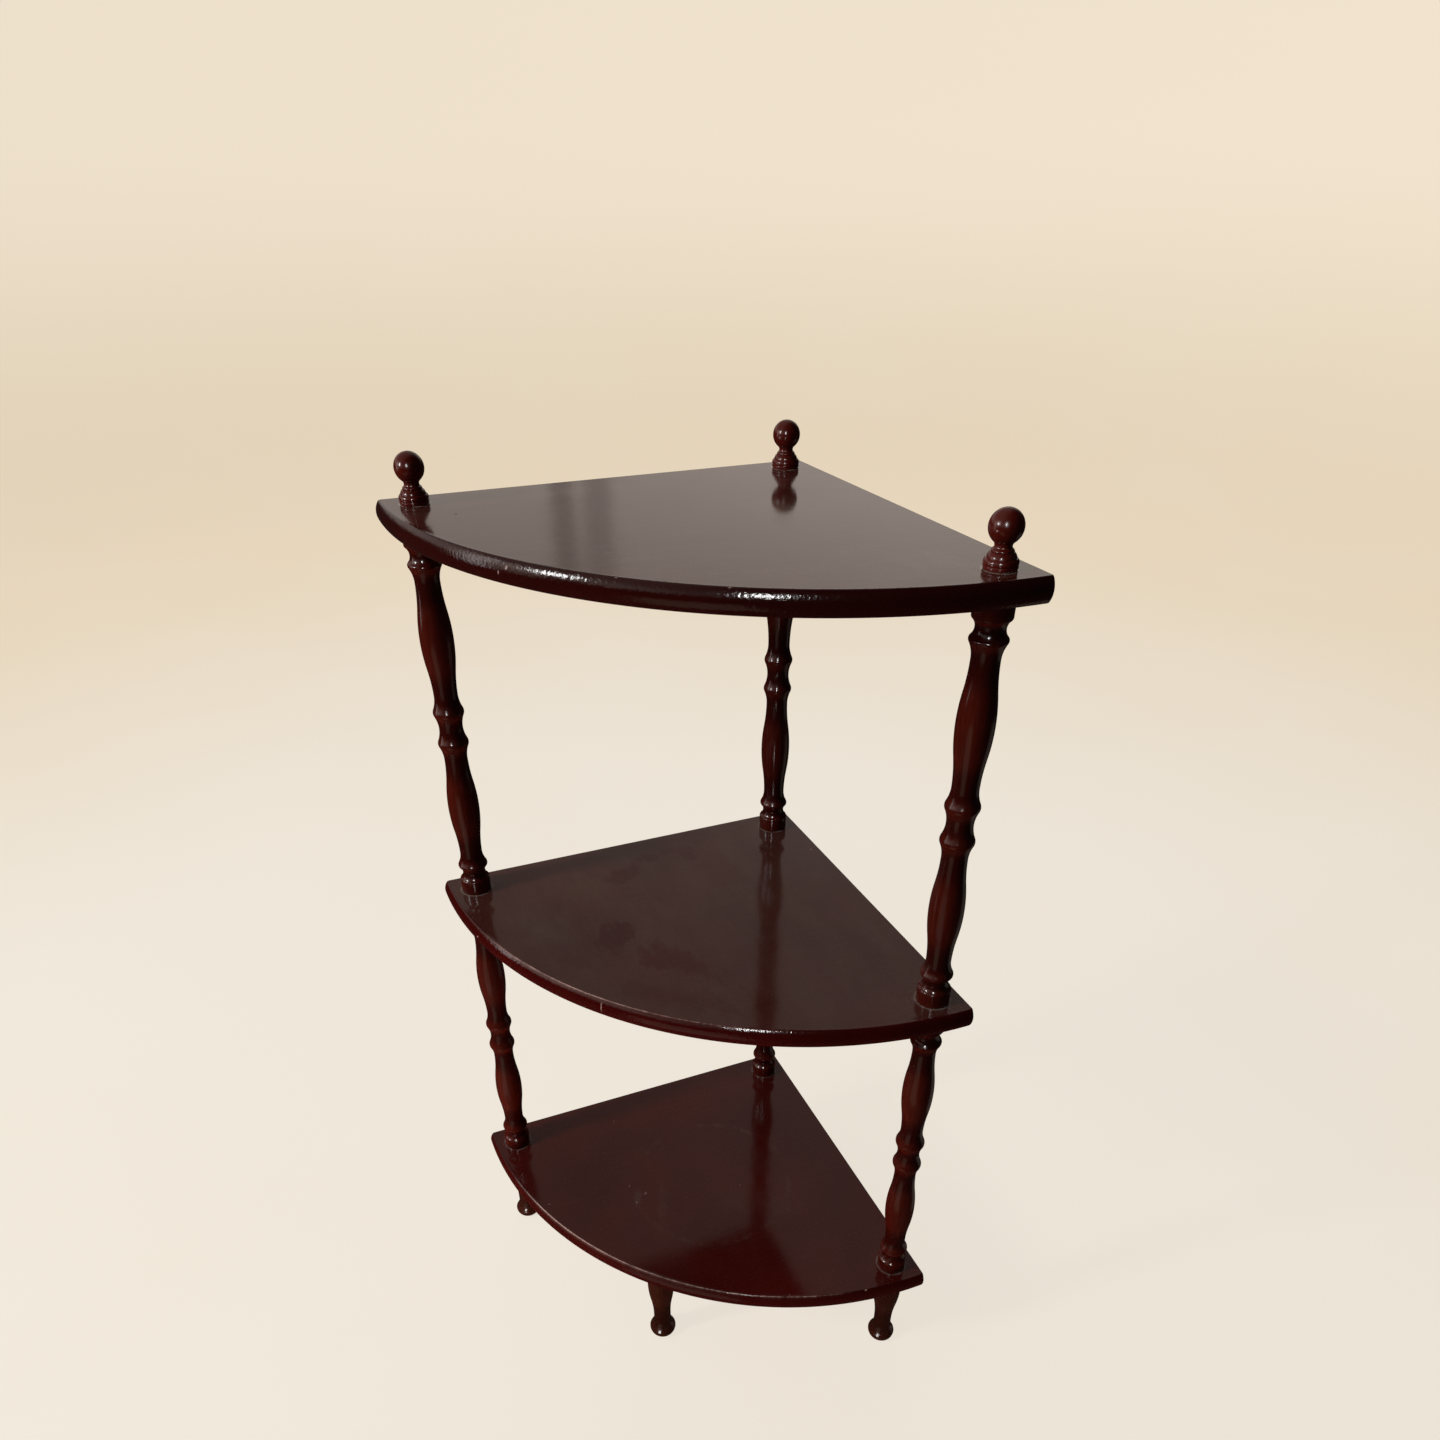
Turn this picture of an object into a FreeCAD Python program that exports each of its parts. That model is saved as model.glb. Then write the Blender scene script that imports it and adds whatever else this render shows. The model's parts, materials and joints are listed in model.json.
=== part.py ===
import FreeCAD, Part
import Sketcher
import math
import os

# Corner shelf: three quarter-round boards on turned spindles, with ball finials and turned feet.
# Millimetres, +Z up. The origin is on the floor under the middle of the plan square, the walls'
# corner is at +X +Y and the bowed front faces -X -Y.

doc = FreeCAD.newDocument("corner_shelf")

# Driving dimensions
driving = {
    # boards
    "shelf_radius": 330,
    "shelf_thickness": 16,
    "edge_crown": 3,
    "edge_ease": 1.5,
    # plan places: posts from the walls and the boards' tips, front foot from the bowed edge
    "post_wall_inset": 21.5,
    "post_tip_inset": 25,
    "front_foot_inset": 20.5,
    # spindle, in order from either end to its middle
    "spindle_length": 300,
    "drum_diameter": 25,
    "drum_height": 11,
    "shoulder_ease": 1.2,
    "shoulder_run": 7,
    "hollow_diameter": 18.8,
    "outer_bead_drum_run": 7,
    "outer_bead_crest": 1.5,
    "outer_bead_diameter": 24.4,
    "outer_bead_neck_run": 12,
    "neck_diameter": 18.2,
    "vase_diameter": 25,
    "inner_bead_neck_run": 13.5,
    "inner_bead_crest": 2.2,
    "inner_bead_diameter": 24,
    "inner_bead_waist_run": 12.9,
    "waist_diameter": 18.4,
    # finial, in order from its seat: four beads, each a step smaller, then the neck and the ball
    "finial_base_foot_diameter": 19.2,
    "finial_base_head_diameter": 20.3,
    "finial_base_height": 2.5,
    "finial_base_bulge": 0.35,
    "finial_bun_foot_diameter": 20,
    "finial_bun_head_diameter": 18.4,
    "finial_bun_height": 3.9,
    "finial_bun_bulge": 0.65,
    "finial_collar_foot_diameter": 17.5,
    "finial_collar_head_diameter": 14,
    "finial_collar_height": 3.2,
    "finial_collar_bulge": 0.35,
    "finial_ring_foot_diameter": 13.2,
    "finial_ring_head_diameter": 12,
    "finial_ring_height": 1.7,
    "finial_ring_bulge": 0.4,
    "finial_neck_rise": 1.6,
    "finial_neck_diameter": 10.3,
    "finial_ball_lift": 1.5,
    "finial_ball_diameter": 20.4,
    # foot, in order from the floor
    "foot_height": 93.5,
    "foot_sole_diameter": 18,
    "foot_toe_height": 7,
    "foot_toe_diameter": 25,
    "foot_toe_crest": 2,
    "foot_ankle_rise": 13.5,
    "foot_ankle_diameter": 16.4,
    "foot_ankle_height": 7,
    "foot_block_height": 18,
    "foot_block_diameter": 25,
    # hanger bolts and threaded inserts
    "bolt_diameter": 6,
    "bolt_point": 4,
    "bolt_chamfer": 0.8,
    "finial_grip": 11,
    "spindle_grip": 20,
    "insert_length": 11,
    "insert_wall": 1.4,
    "insert_flange_step": 1.5,
    "insert_flange_thickness": 1.2,
    "front_insert_cover": 4,
    # clearances
    "fit_clearance": 0.1,
    "bolt_hole_clearance": 0.5,
    "bore_end_clearance": 1,
}

sheet = doc.addObject("Spreadsheet::Sheet", "sizes")
for row, (alias, value) in enumerate(driving.items(), start=1):
    sheet.set(f"A{row}", alias)
    sheet.set(f"B{row}", str(value))
    sheet.setAlias(f"B{row}", alias)
doc.recompute()


class Size:
    # A size from the sheet, or worked out from several: its number, and the expression that keeps
    # a feature tied to the sheet
    def __init__(self, number, expression):
        self.number = number
        self.expression = expression

    def combine(self, sign, other, number):
        return Size(number, f"({self.expression} {sign} {other.expression})")

    def __add__(self, other):
        return self.combine("+", other, self.number + other.number)

    def __sub__(self, other):
        return self.combine("-", other, self.number - other.number)

    def __mul__(self, other):
        return self.combine("*", other, self.number * other.number)

    def __truediv__(self, other):
        return self.combine("/", other, self.number / other.number)


def size(alias):
    return Size(float(sheet.get(alias)), f"sizes.{alias}")


def times(count):
    return Size(count, str(count))


def radius_of(alias):
    return size(alias) / times(2)


def square_root(area):
    return Size(math.sqrt(area.number), f"sqrt({area.expression})")


zero = times(0)

# Heights, plan places and bores that follow from the sheet
thickness = size("shelf_thickness")
tier_height = thickness + size("spindle_length")
level = {
    "bottom": size("foot_height"),
    "middle": size("foot_height") + tier_height,
    "top": size("foot_height") + tier_height + tier_height,
}
corner = radius_of("shelf_radius")
near = size("post_wall_inset")
far = size("shelf_radius") - size("post_tip_inset")
diagonal = (size("shelf_radius") - size("front_foot_inset")) / square_root(times(2))
posts = {"left": (far, near), "right": (near, far), "back": (near, near)}

bolt_bore = radius_of("bolt_diameter") + size("fit_clearance")
bolt_hole = radius_of("bolt_diameter") + size("bolt_hole_clearance")
insert_outside = bolt_bore + size("insert_wall")
flange_outside = insert_outside + size("insert_flange_step")
insert_bore = insert_outside + size("fit_clearance")
flange_bore = flange_outside + size("fit_clearance")
flange_depth = size("insert_flange_thickness")
insert_depth = size("insert_length") + size("bore_end_clearance")
front_insert_depth = thickness - size("front_insert_cover")
front_insert_length = front_insert_depth - size("bore_end_clearance")


def new_body(name, x=zero, y=zero, z=zero, turn=0):
    body = doc.addObject("PartDesign::Body", name)
    body.Label = name
    body.Placement.Rotation = FreeCAD.Rotation(FreeCAD.Vector(0, 0, 1), turn)
    for axis, place in zip("xyz", (x, y, z)):
        body.setExpression(f"Placement.Base.{axis}", place.expression)
    return body


def new_sketch(body, name, plane, lift=zero):
    sketch = body.newObject("Sketcher::SketchObject", name)
    origin_plane = [item for item in body.Origin.OriginFeatures if item.Role == plane][0]
    sketch.AttachmentSupport = [(origin_plane, "")]
    sketch.MapMode = "FlatFace"
    if plane == "XZ_Plane":
        sketch.setExpression("AttachmentOffset.Base.y", lift.expression)
    return sketch


def at(across, up):
    return FreeCAD.Vector(across.number, up.number, 0)


def pin(sketch, geometry, end, across, up):
    # Ties a point to the sheet: its distance from the axis and its height in the sketch
    for kind, place, axis in (("DistanceX", across, -2), ("DistanceY", up, -1)):
        if place is zero:
            sketch.addConstraint(Sketcher.Constraint("PointOnObject", geometry, end, axis))
            continue
        index = sketch.addConstraint(Sketcher.Constraint(kind, -1, 1, geometry, end, place.number))
        sketch.setExpression(f"Constraints[{index}]", place.expression)


def pin_height(sketch, geometry, end, up):
    index = sketch.addConstraint(Sketcher.Constraint("DistanceY", -1, 1, geometry, end, up.number))
    sketch.setExpression(f"Constraints[{index}]", up.expression)


def join(sketch, first, first_end, second, second_end):
    sketch.addConstraint(Sketcher.Constraint("Coincident", first, first_end, second, second_end))


def touch(sketch, first, first_end, second, second_end):
    sketch.addConstraint(Sketcher.Constraint("Tangent", first, first_end, second, second_end))


def make_level(sketch, curve, end):
    # Puts an arc's centre level with one of its ends, so that it is upright there
    sketch.addConstraint(Sketcher.Constraint("Horizontal", curve, 3, curve, end))


def set_radius(sketch, curve, radius):
    index = sketch.addConstraint(Sketcher.Constraint("Radius", curve, radius.number))
    sketch.setExpression(f"Constraints[{index}]", radius.expression)


def line(sketch, start, end):
    return sketch.addGeometry(Part.LineSegment(start, end), False)


def arc(sketch, centre, start, end):
    # Anticlockwise from start to end
    radius = (start - centre).Length
    angles = [math.atan2(point.y - centre.y, point.x - centre.x) for point in (start, end)]
    circle = Part.Circle(centre, FreeCAD.Vector(0, 0, 1), radius)
    return sketch.addGeometry(Part.ArcOfCircle(circle, angles[0], angles[1]), False)


def profile_arc(sketch, centre, start, end, hollow):
    # An arc of a turned outline, with its lower and upper ends named
    if hollow:
        return arc(sketch, centre, end, start), 2, 1
    return arc(sketch, centre, start, end), 1, 2


def outline(sketch, corners):
    # A closed outline of straight sides
    points = [at(across, up) for across, up in corners]
    sides = [line(sketch, a, b) for a, b in zip(points, points[1:] + points[:1])]
    for side, (across, up) in zip(sides, corners):
        pin(sketch, side, 1, across, up)
    for side, following in zip(sides, sides[1:] + sides[:1]):
        join(sketch, side, 2, following, 1)


def bow(sketch, last, start, end, bulge):
    # An arc from start to end that bulges from the straight line between them
    run = end[0] - start[0]
    rise = end[1] - start[1]
    radius = (run * run + rise * rise + bulge * bulge * times(4)) / (bulge * times(8))
    first = at(*start)
    second = at(*end)
    along = second - first
    outward = FreeCAD.Vector(along.y, -along.x, 0).normalize()
    centre = (first + second) / 2 + outward * (bulge.number - radius.number)
    curve, low, high = profile_arc(sketch, centre, first, second, hollow=False)
    join(sketch, *last, curve, low)
    pin(sketch, curve, high, *end)
    set_radius(sketch, curve, radius)
    return curve, high


def swing(sketch, last, start, end):
    # An arc that leaves start on a slant and is upright where it reaches end
    first = at(*start)
    second = at(*end)
    step = second.x - first.x
    rise = second.y - first.y
    radius = (step ** 2 + rise ** 2) / (2 * step)
    centre = FreeCAD.Vector(second.x - radius, second.y, 0)
    curve, low, high = profile_arc(sketch, centre, first, second, hollow=step < 0)
    join(sketch, *last, curve, low)
    pin(sketch, curve, high, *end)
    make_level(sketch, curve, high)
    return curve, high


def ogee(sketch, last, start, end, turn):
    # Two tangent arcs that meet at the height turn, upright where they leave start and reach end
    first = at(*start)
    second = at(*end)
    step = second.x - first.x
    rise = second.y - first.y
    both_radii = (rise ** 2 + step ** 2) / (2 * step)
    share = (turn.number - first.y) / rise
    middle = first + (second - first) * share
    first_centre = FreeCAD.Vector(first.x + both_radii * share, first.y, 0)
    second_centre = FreeCAD.Vector(second.x - both_radii * (1 - share), second.y, 0)
    lower, foot_end, lower_turn = profile_arc(sketch, first_centre, first, middle, hollow=step > 0)
    upper, upper_turn, head_end = profile_arc(sketch, second_centre, middle, second, hollow=step < 0)
    join(sketch, *last, lower, foot_end)
    touch(sketch, lower, lower_turn, upper, upper_turn)
    make_level(sketch, lower, foot_end)
    make_level(sketch, upper, head_end)
    pin_height(sketch, upper, upper_turn, turn)
    pin(sketch, upper, head_end, *end)
    return upper, head_end


def straight(sketch, last, start, end):
    side = line(sketch, at(*start), at(*end))
    join(sketch, *last, side, 1)
    pin(sketch, side, 2, *end)
    return side, 2


def turned(sketch, stations, last):
    # Carries a turned outline up through its stations: straight where the radius holds, an ogee
    # where it changes. A station may name the height where the ogee below it turns from hollow to
    # round, or back; otherwise it turns halfway. last is the geometry and end that the outline reached.
    for (radius, height, *_), (next_radius, next_height, *turn) in zip(stations, stations[1:]):
        start = (radius, height)
        end = (next_radius, next_height)
        if radius is next_radius:
            last = straight(sketch, last, start, end)
        else:
            halfway = (height + next_height) / times(2)
            last = ogee(sketch, last, start, end, *(turn or [halfway]))
    return last


def open_at_axis(sketch, across):
    # The flat at the foot of a turned outline, from the axis to its first station
    base = line(sketch, at(zero, zero), at(across, zero))
    join(sketch, base, 1, -1, 1)
    pin(sketch, base, 2, across, zero)
    return base, 2


def close_on_axis(sketch, last, across, up):
    # Runs in to the axis at the top and down the axis to the start of the outline
    top = line(sketch, at(across, up), at(zero, up))
    axis = line(sketch, at(zero, up), at(zero, zero))
    join(sketch, *last, top, 1)
    join(sketch, top, 2, axis, 1)
    pin(sketch, axis, 1, zero, up)
    join(sketch, axis, 2, -1, 1)


def revolve(body, sketch, name, kind="PartDesign::Revolution", angle=360):
    feature = body.newObject(kind, name)
    feature.Profile = sketch
    feature.ReferenceAxis = (sketch, ["V_Axis"])
    feature.Angle = angle
    body.Tip = feature
    return feature


def check_cut(body, name, whole):
    doc.recompute()
    if body.Shape.Volume >= whole:
        raise RuntimeError(f"{body.Label}: {name} cuts nothing")


def bore(body, name, corners, lift=zero):
    # A stepped round bore on the axis, cut from an outline
    doc.recompute()
    whole = body.Shape.Volume
    sketch = new_sketch(body, f"{name}_outline", "XZ_Plane", lift)
    outline(sketch, corners)
    revolve(body, sketch, name, "PartDesign::Groove")
    check_cut(body, name, whole)


def grip_bore(body, grip, lift=zero):
    depth = grip + size("bore_end_clearance")
    bore(body, "bolt_bore", [(zero, zero), (bolt_bore, zero), (bolt_bore, depth), (zero, depth)], lift)


def insert_seat(body, face):
    # The bore for an insert, stepped for its flange, down from the face it lies flush with
    step = insert_depth - flange_depth
    bore(body, "insert_seat", [
        (zero, zero),
        (insert_bore, zero),
        (insert_bore, step),
        (flange_bore, step),
        (flange_bore, insert_depth),
        (zero, insert_depth),
    ], face - insert_depth)


# Boards
def holes(body, name, radius, depth, places):
    # Round pockets into the underside, or right through at full thickness
    doc.recompute()
    whole = body.Shape.Volume
    sketch = new_sketch(body, f"{name}_circles", "XY_Plane")
    for across, along in places:
        circle = Part.Circle(at(across, along), FreeCAD.Vector(0, 0, 1), radius.number)
        geometry = sketch.addGeometry(circle, False)
        pin(sketch, geometry, 3, across, along)
        set_radius(sketch, geometry, radius)
    pocket = body.newObject("PartDesign::Pocket", name)
    pocket.Profile = sketch
    pocket.Reversed = True
    pocket.setExpression("Length", depth.expression)
    body.Tip = pocket
    check_cut(body, name, whole)


def shelf(name, height):
    # The board's own frame has the walls' corner at its origin and the board in +X +Y
    body = new_body(name, corner, corner, height, turn=180)
    sketch = new_sketch(body, f"{name}_section", "XZ_Plane")
    # The front edge is crowned, and an eased arris joins it to each face of the board
    crown = size("edge_crown")
    ease = size("edge_ease")
    half = thickness / times(2)
    crown_radius = (half * half + crown * crown) / (crown * times(2))
    crown_centre = size("shelf_radius") - crown_radius
    reach = crown_radius - ease
    rise = half - ease
    flat = crown_centre + square_root(reach * reach - rise * rise)

    centre = at(crown_centre, half)
    lower_centre = at(flat, ease)
    upper_centre = at(flat, thickness - ease)
    lower_meeting = centre + (lower_centre - centre).normalize() * crown_radius.number
    upper_meeting = centre + (upper_centre - centre).normalize() * crown_radius.number
    under = open_at_axis(sketch, flat)
    lower = arc(sketch, lower_centre, at(flat, zero), lower_meeting)
    face = arc(sketch, centre, lower_meeting, upper_meeting)
    upper = arc(sketch, upper_centre, upper_meeting, at(flat, thickness))
    touch(sketch, *under, lower, 1)
    touch(sketch, lower, 2, face, 1)
    touch(sketch, face, 2, upper, 1)
    pin(sketch, upper, 2, flat, thickness)
    sketch.addConstraint(Sketcher.Constraint("Vertical", upper, 3, upper, 2))
    for curve, radius in ((lower, ease), (face, crown_radius), (upper, ease)):
        set_radius(sketch, curve, radius)
    close_on_axis(sketch, (upper, 2), flat, thickness)
    revolve(body, sketch, f"{name}_board", angle=90)
    holes(body, "bolt_holes", bolt_hole, thickness, posts.values())
    return body


# Spindles
def spindle(name, x, y, height):
    # Turned from its middle up and mirrored; a bolt bore in its foot, an insert seat in its head
    half = size("spindle_length") / times(2)
    body = new_body(name, x, y, height + half)
    waist = radius_of("waist_diameter")
    neck = radius_of("neck_diameter")
    hollow = radius_of("hollow_diameter")
    drum = radius_of("drum_diameter")
    inner_bead = size("inner_bead_waist_run")
    inner_neck = inner_bead + size("inner_bead_neck_run")
    drum_foot = half - size("drum_height")
    hollow_height = drum_foot - size("shoulder_run")
    outer_bead = hollow_height - size("outer_bead_drum_run")
    outer_neck = outer_bead - size("outer_bead_neck_run")
    inner_crest = size("inner_bead_crest")
    outer_crest = size("outer_bead_crest")
    stations = [
        (waist, zero),
        (radius_of("inner_bead_diameter"), inner_bead, inner_bead - inner_crest),
        (neck, inner_neck, inner_bead + inner_crest),
        (radius_of("vase_diameter"), (inner_neck + outer_neck) / times(2)),
        (neck, outer_neck),
        (radius_of("outer_bead_diameter"), outer_bead, outer_bead - outer_crest),
        (hollow, hollow_height, outer_bead + outer_crest),
        (drum, drum_foot, drum_foot - size("shoulder_ease")),
        (drum, half),
    ]
    sketch = new_sketch(body, f"{name}_profile", "XZ_Plane")
    last = turned(sketch, stations, open_at_axis(sketch, waist))
    close_on_axis(sketch, last, drum, half)
    turning = revolve(body, sketch, f"{name}_half")
    mirrored = body.newObject("PartDesign::Mirrored", f"{name}_whole")
    mirrored.Originals = [turning]
    mirrored.MirrorPlane = (sketch, ["H_Axis"])
    body.Tip = mirrored
    grip_bore(body, size("spindle_grip"), zero - half)
    insert_seat(body, half)
    return body


# Finials
def finial(name, x, y):
    body = new_body(name, x, y, level["top"] + thickness)
    sketch = new_sketch(body, f"{name}_profile", "XZ_Plane")
    head = (radius_of("finial_base_foot_diameter"), zero)
    last = open_at_axis(sketch, head[0])
    for bead in ("base", "bun", "collar", "ring"):
        foot_end = (radius_of(f"finial_{bead}_foot_diameter"), head[1])
        if head[1] is not zero:
            last = straight(sketch, last, head, foot_end)
        head = (radius_of(f"finial_{bead}_head_diameter"), head[1] + size(f"finial_{bead}_height"))
        last = bow(sketch, last, foot_end, head, size(f"finial_{bead}_bulge"))

    # From its narrowest the neck swings out to meet the ball on a tangent
    neck = radius_of("finial_neck_diameter")
    neck_height = head[1] + size("finial_neck_rise")
    ball = radius_of("finial_ball_diameter")
    ball_rise = square_root(ball * ball - neck * neck) + size("finial_ball_lift")
    ball_height = neck_height + ball_rise
    last = swing(sketch, last, head, (neck, neck_height))
    swing_radius = (neck * neck + ball_rise * ball_rise - ball * ball) / ((ball - neck) * times(2))
    swing_centre = at(neck + swing_radius, neck_height)
    ball_centre = at(zero, ball_height)
    ball_top = at(zero, ball_height + ball)
    meeting = ball_centre + (swing_centre - ball_centre).normalize() * ball.number
    upper_neck = arc(sketch, swing_centre, meeting, at(neck, neck_height))
    sphere = arc(sketch, ball_centre, meeting, ball_top)
    join(sketch, *last, upper_neck, 2)
    make_level(sketch, upper_neck, 2)
    touch(sketch, upper_neck, 1, sphere, 1)
    pin(sketch, sphere, 3, zero, ball_height)
    set_radius(sketch, sphere, ball)
    axis = line(sketch, ball_top, at(zero, zero))
    join(sketch, sphere, 2, axis, 1)
    join(sketch, axis, 2, -1, 1)
    sketch.addConstraint(Sketcher.Constraint("Vertical", axis))
    revolve(body, sketch, f"{name}_turning")
    grip_bore(body, size("finial_grip"))
    return body


# Feet
def foot(name, x, y):
    body = new_body(name, x, y)
    sketch = new_sketch(body, f"{name}_profile", "XZ_Plane")
    block = radius_of("foot_block_diameter")
    height = size("foot_height")
    sole = radius_of("foot_sole_diameter")
    ankle = radius_of("foot_ankle_diameter")
    toe_height = size("foot_toe_height")
    ankle_foot = toe_height + size("foot_ankle_rise")
    toe = (radius_of("foot_toe_diameter"), toe_height)
    stations = [
        toe,
        (ankle, ankle_foot, toe_height + size("foot_toe_crest")),
        (ankle, ankle_foot + size("foot_ankle_height")),
        (block, height - size("foot_block_height")),
        (block, height),
    ]
    last = swing(sketch, open_at_axis(sketch, sole), (sole, zero), toe)
    last = turned(sketch, stations, last)
    close_on_axis(sketch, last, block, height)
    revolve(body, sketch, f"{name}_turning")
    return body


# Hardware
def hanger_bolt(name, x, y, z, length, point_up=True):
    # A plain rod for the two threads: a point at the wood end, a chamfer at the machine end
    shank = radius_of("bolt_diameter")
    tip = size("bolt_point")
    chamfer = size("bolt_chamfer")
    end = shank - chamfer
    if point_up:
        corners = [(zero, zero), (end, zero), (shank, chamfer), (shank, length - tip), (zero, length)]
    else:
        corners = [(zero, zero), (shank, tip), (shank, length - chamfer), (end, length), (zero, length)]
    body = new_body(name, x, y, z)
    sketch = new_sketch(body, f"{name}_profile", "XZ_Plane")
    outline(sketch, corners)
    revolve(body, sketch, f"{name}_rod")
    return body


def insert(name, x, y, z, length, flange_up=True):
    # A sleeve with a flange that lies flush in the face it is screwed into
    step = length - flange_depth if flange_up else flange_depth
    foot_radius, head_radius = insert_outside, flange_outside
    if not flange_up:
        foot_radius, head_radius = flange_outside, insert_outside
    body = new_body(name, x, y, z)
    sketch = new_sketch(body, f"{name}_profile", "XZ_Plane")
    outline(sketch, [
        (bolt_bore, zero),
        (foot_radius, zero),
        (foot_radius, step),
        (head_radius, step),
        (head_radius, length),
        (bolt_bore, length),
    ])
    revolve(body, sketch, f"{name}_sleeve")
    return body


pieces = []
for tier, height in level.items():
    pieces.append(shelf(f"{tier}_shelf", height))
bottom_shelf = pieces[0]
front_place = [(diagonal, diagonal)]
holes(bottom_shelf, "front_insert_bore", insert_bore, front_insert_depth, front_place)
holes(bottom_shelf, "front_flange_seat", flange_bore, flange_depth, front_place)

sleeve = size("insert_length")
for post, (across, along) in posts.items():
    x = corner - across
    y = corner - along
    pieces.append(finial(f"{post}_finial", x, y))
    pieces.append(foot(f"{post}_foot", x, y))
    insert_seat(pieces[-1], size("foot_height"))
    pieces.append(insert(f"{post}_foot_insert", x, y, size("foot_height") - sleeve, sleeve))
    # Each bolt hangs from its turning, through the board, to the bottom of the insert below
    turnings = [(f"{post}_finial", level["top"], size("finial_grip"))]
    for tier, below in (("upper", "middle"), ("lower", "bottom")):
        name = f"{tier}_{post}_spindle"
        base = level[below] + thickness
        pieces.append(spindle(name, x, y, base))
        pieces.append(insert(f"{name}_insert", x, y, base + size("spindle_length") - sleeve, sleeve))
        turnings.append((name, level[below], size("spindle_grip")))
    for name, underside, grip in turnings:
        pieces.append(hanger_bolt(f"{name}_bolt", x, y, underside - sleeve, sleeve + thickness + grip))

front = corner - diagonal
pieces.append(foot("front_foot", front, front))
front_grip = size("spindle_grip")
grip_bore(pieces[-1], front_grip, size("foot_height") - front_grip - size("bore_end_clearance"))
pieces.append(hanger_bolt("front_foot_bolt", front, front, size("foot_height") - front_grip,
                          front_grip + front_insert_length, point_up=False))
pieces.append(insert("bottom_shelf_insert", front, front, size("foot_height"), front_insert_length,
                     flange_up=False))

doc.recompute()
for item in doc.Objects:
    if "Invalid" in item.State or "Error" in item.State:
        raise RuntimeError(f"{item.Label} did not build: {item.State}")
os.makedirs("parts", exist_ok=True)
for piece in pieces:
    if piece.Shape.isNull() or not piece.Shape.isValid():
        raise RuntimeError(f"{piece.Label} has no valid shape")
    piece.Shape.exportStep(f"parts/{piece.Label}.step")
print(len(pieces), "pieces")
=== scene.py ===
import json
import math

import bmesh
import bpy
from mathutils import Matrix, Vector, noise

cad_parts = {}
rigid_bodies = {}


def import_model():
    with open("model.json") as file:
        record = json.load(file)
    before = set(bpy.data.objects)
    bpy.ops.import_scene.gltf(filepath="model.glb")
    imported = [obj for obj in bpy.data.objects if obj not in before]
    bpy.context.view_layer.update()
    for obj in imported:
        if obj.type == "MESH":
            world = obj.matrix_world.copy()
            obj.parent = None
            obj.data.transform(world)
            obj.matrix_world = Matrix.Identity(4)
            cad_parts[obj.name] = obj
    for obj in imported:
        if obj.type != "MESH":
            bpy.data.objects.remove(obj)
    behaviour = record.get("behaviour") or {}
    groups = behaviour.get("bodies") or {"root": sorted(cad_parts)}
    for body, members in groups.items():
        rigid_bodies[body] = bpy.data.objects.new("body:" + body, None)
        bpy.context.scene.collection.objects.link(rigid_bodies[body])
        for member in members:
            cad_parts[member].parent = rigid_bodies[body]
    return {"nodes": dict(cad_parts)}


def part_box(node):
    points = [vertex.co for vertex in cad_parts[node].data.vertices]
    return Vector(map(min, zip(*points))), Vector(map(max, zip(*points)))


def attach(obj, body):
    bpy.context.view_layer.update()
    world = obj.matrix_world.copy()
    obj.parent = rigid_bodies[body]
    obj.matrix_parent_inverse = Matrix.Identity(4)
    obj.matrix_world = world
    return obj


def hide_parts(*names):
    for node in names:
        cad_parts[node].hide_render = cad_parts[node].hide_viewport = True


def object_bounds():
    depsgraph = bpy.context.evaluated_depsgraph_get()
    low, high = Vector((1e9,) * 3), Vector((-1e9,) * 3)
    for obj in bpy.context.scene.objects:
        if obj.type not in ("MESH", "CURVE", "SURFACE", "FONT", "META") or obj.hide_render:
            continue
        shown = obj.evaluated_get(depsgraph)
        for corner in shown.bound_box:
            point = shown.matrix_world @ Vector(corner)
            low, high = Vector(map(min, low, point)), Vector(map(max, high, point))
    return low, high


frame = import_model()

mm = 0.001
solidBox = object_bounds()
print("frame loaded:", len(frame["nodes"]), "nodes")


# node helpers

def plug(tree, socket, value):
    # a socket is linked, a value is set
    if isinstance(value, bpy.types.NodeSocket):
        tree.links.new(value, socket)
    else:
        socket.default_value = value


def addNode(tree, kind, settings=None, inputs=None):
    node = tree.nodes.new(kind)
    for name, value in (settings or {}).items():
        setattr(node, name, value)
    for key, value in (inputs or {}).items():
        plug(tree, node.inputs[key], value)
    return node


def maths(tree, operation, first, second=0.0):
    return addNode(tree, "ShaderNodeMath", {"operation": operation}, {0: first, 1: second}).outputs[0]


def times(tree, first, second):
    return maths(tree, "MULTIPLY", first, second)


def fade(tree, value, low, high, start=0.0, end=1.0):
    node = addNode(tree, "ShaderNodeMapRange", {"interpolation_type": "SMOOTHSTEP"},
                   {0: value, 1: low, 2: high, 3: start, 4: end})
    return node.outputs[0]


def mixColour(tree, share, first, second):
    node = addNode(tree, "ShaderNodeMix", {"data_type": "RGBA"}, {0: share, 6: first, 7: second})
    return node.outputs[2]


def blend(tree, share, first, second):
    return addNode(tree, "ShaderNodeMix", None, {0: share, 2: first, 3: second}).outputs[0]


def mottle(tree, place, scale, detail=2.0, roughness=0.5):
    node = addNode(tree, "ShaderNodeTexNoise", None,
                   {"Vector": place, "Scale": scale, "Detail": detail, "Roughness": roughness})
    return node.outputs[0]


def stretched(tree, place, scale, turn=0.0):
    settings = {"Vector": place, "Rotation": (0, 0, math.radians(turn)), "Scale": scale}
    return addNode(tree, "ShaderNodeMapping", None, settings).outputs[0]


def vectors(tree, operation, first, second):
    return addNode(tree, "ShaderNodeVectorMath", {"operation": operation}, {0: first, 1: second}).outputs


def flatten(tree, place):
    # the place with its height left out
    return vectors(tree, "MULTIPLY", place, (1, 1, 0))[0]


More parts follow.
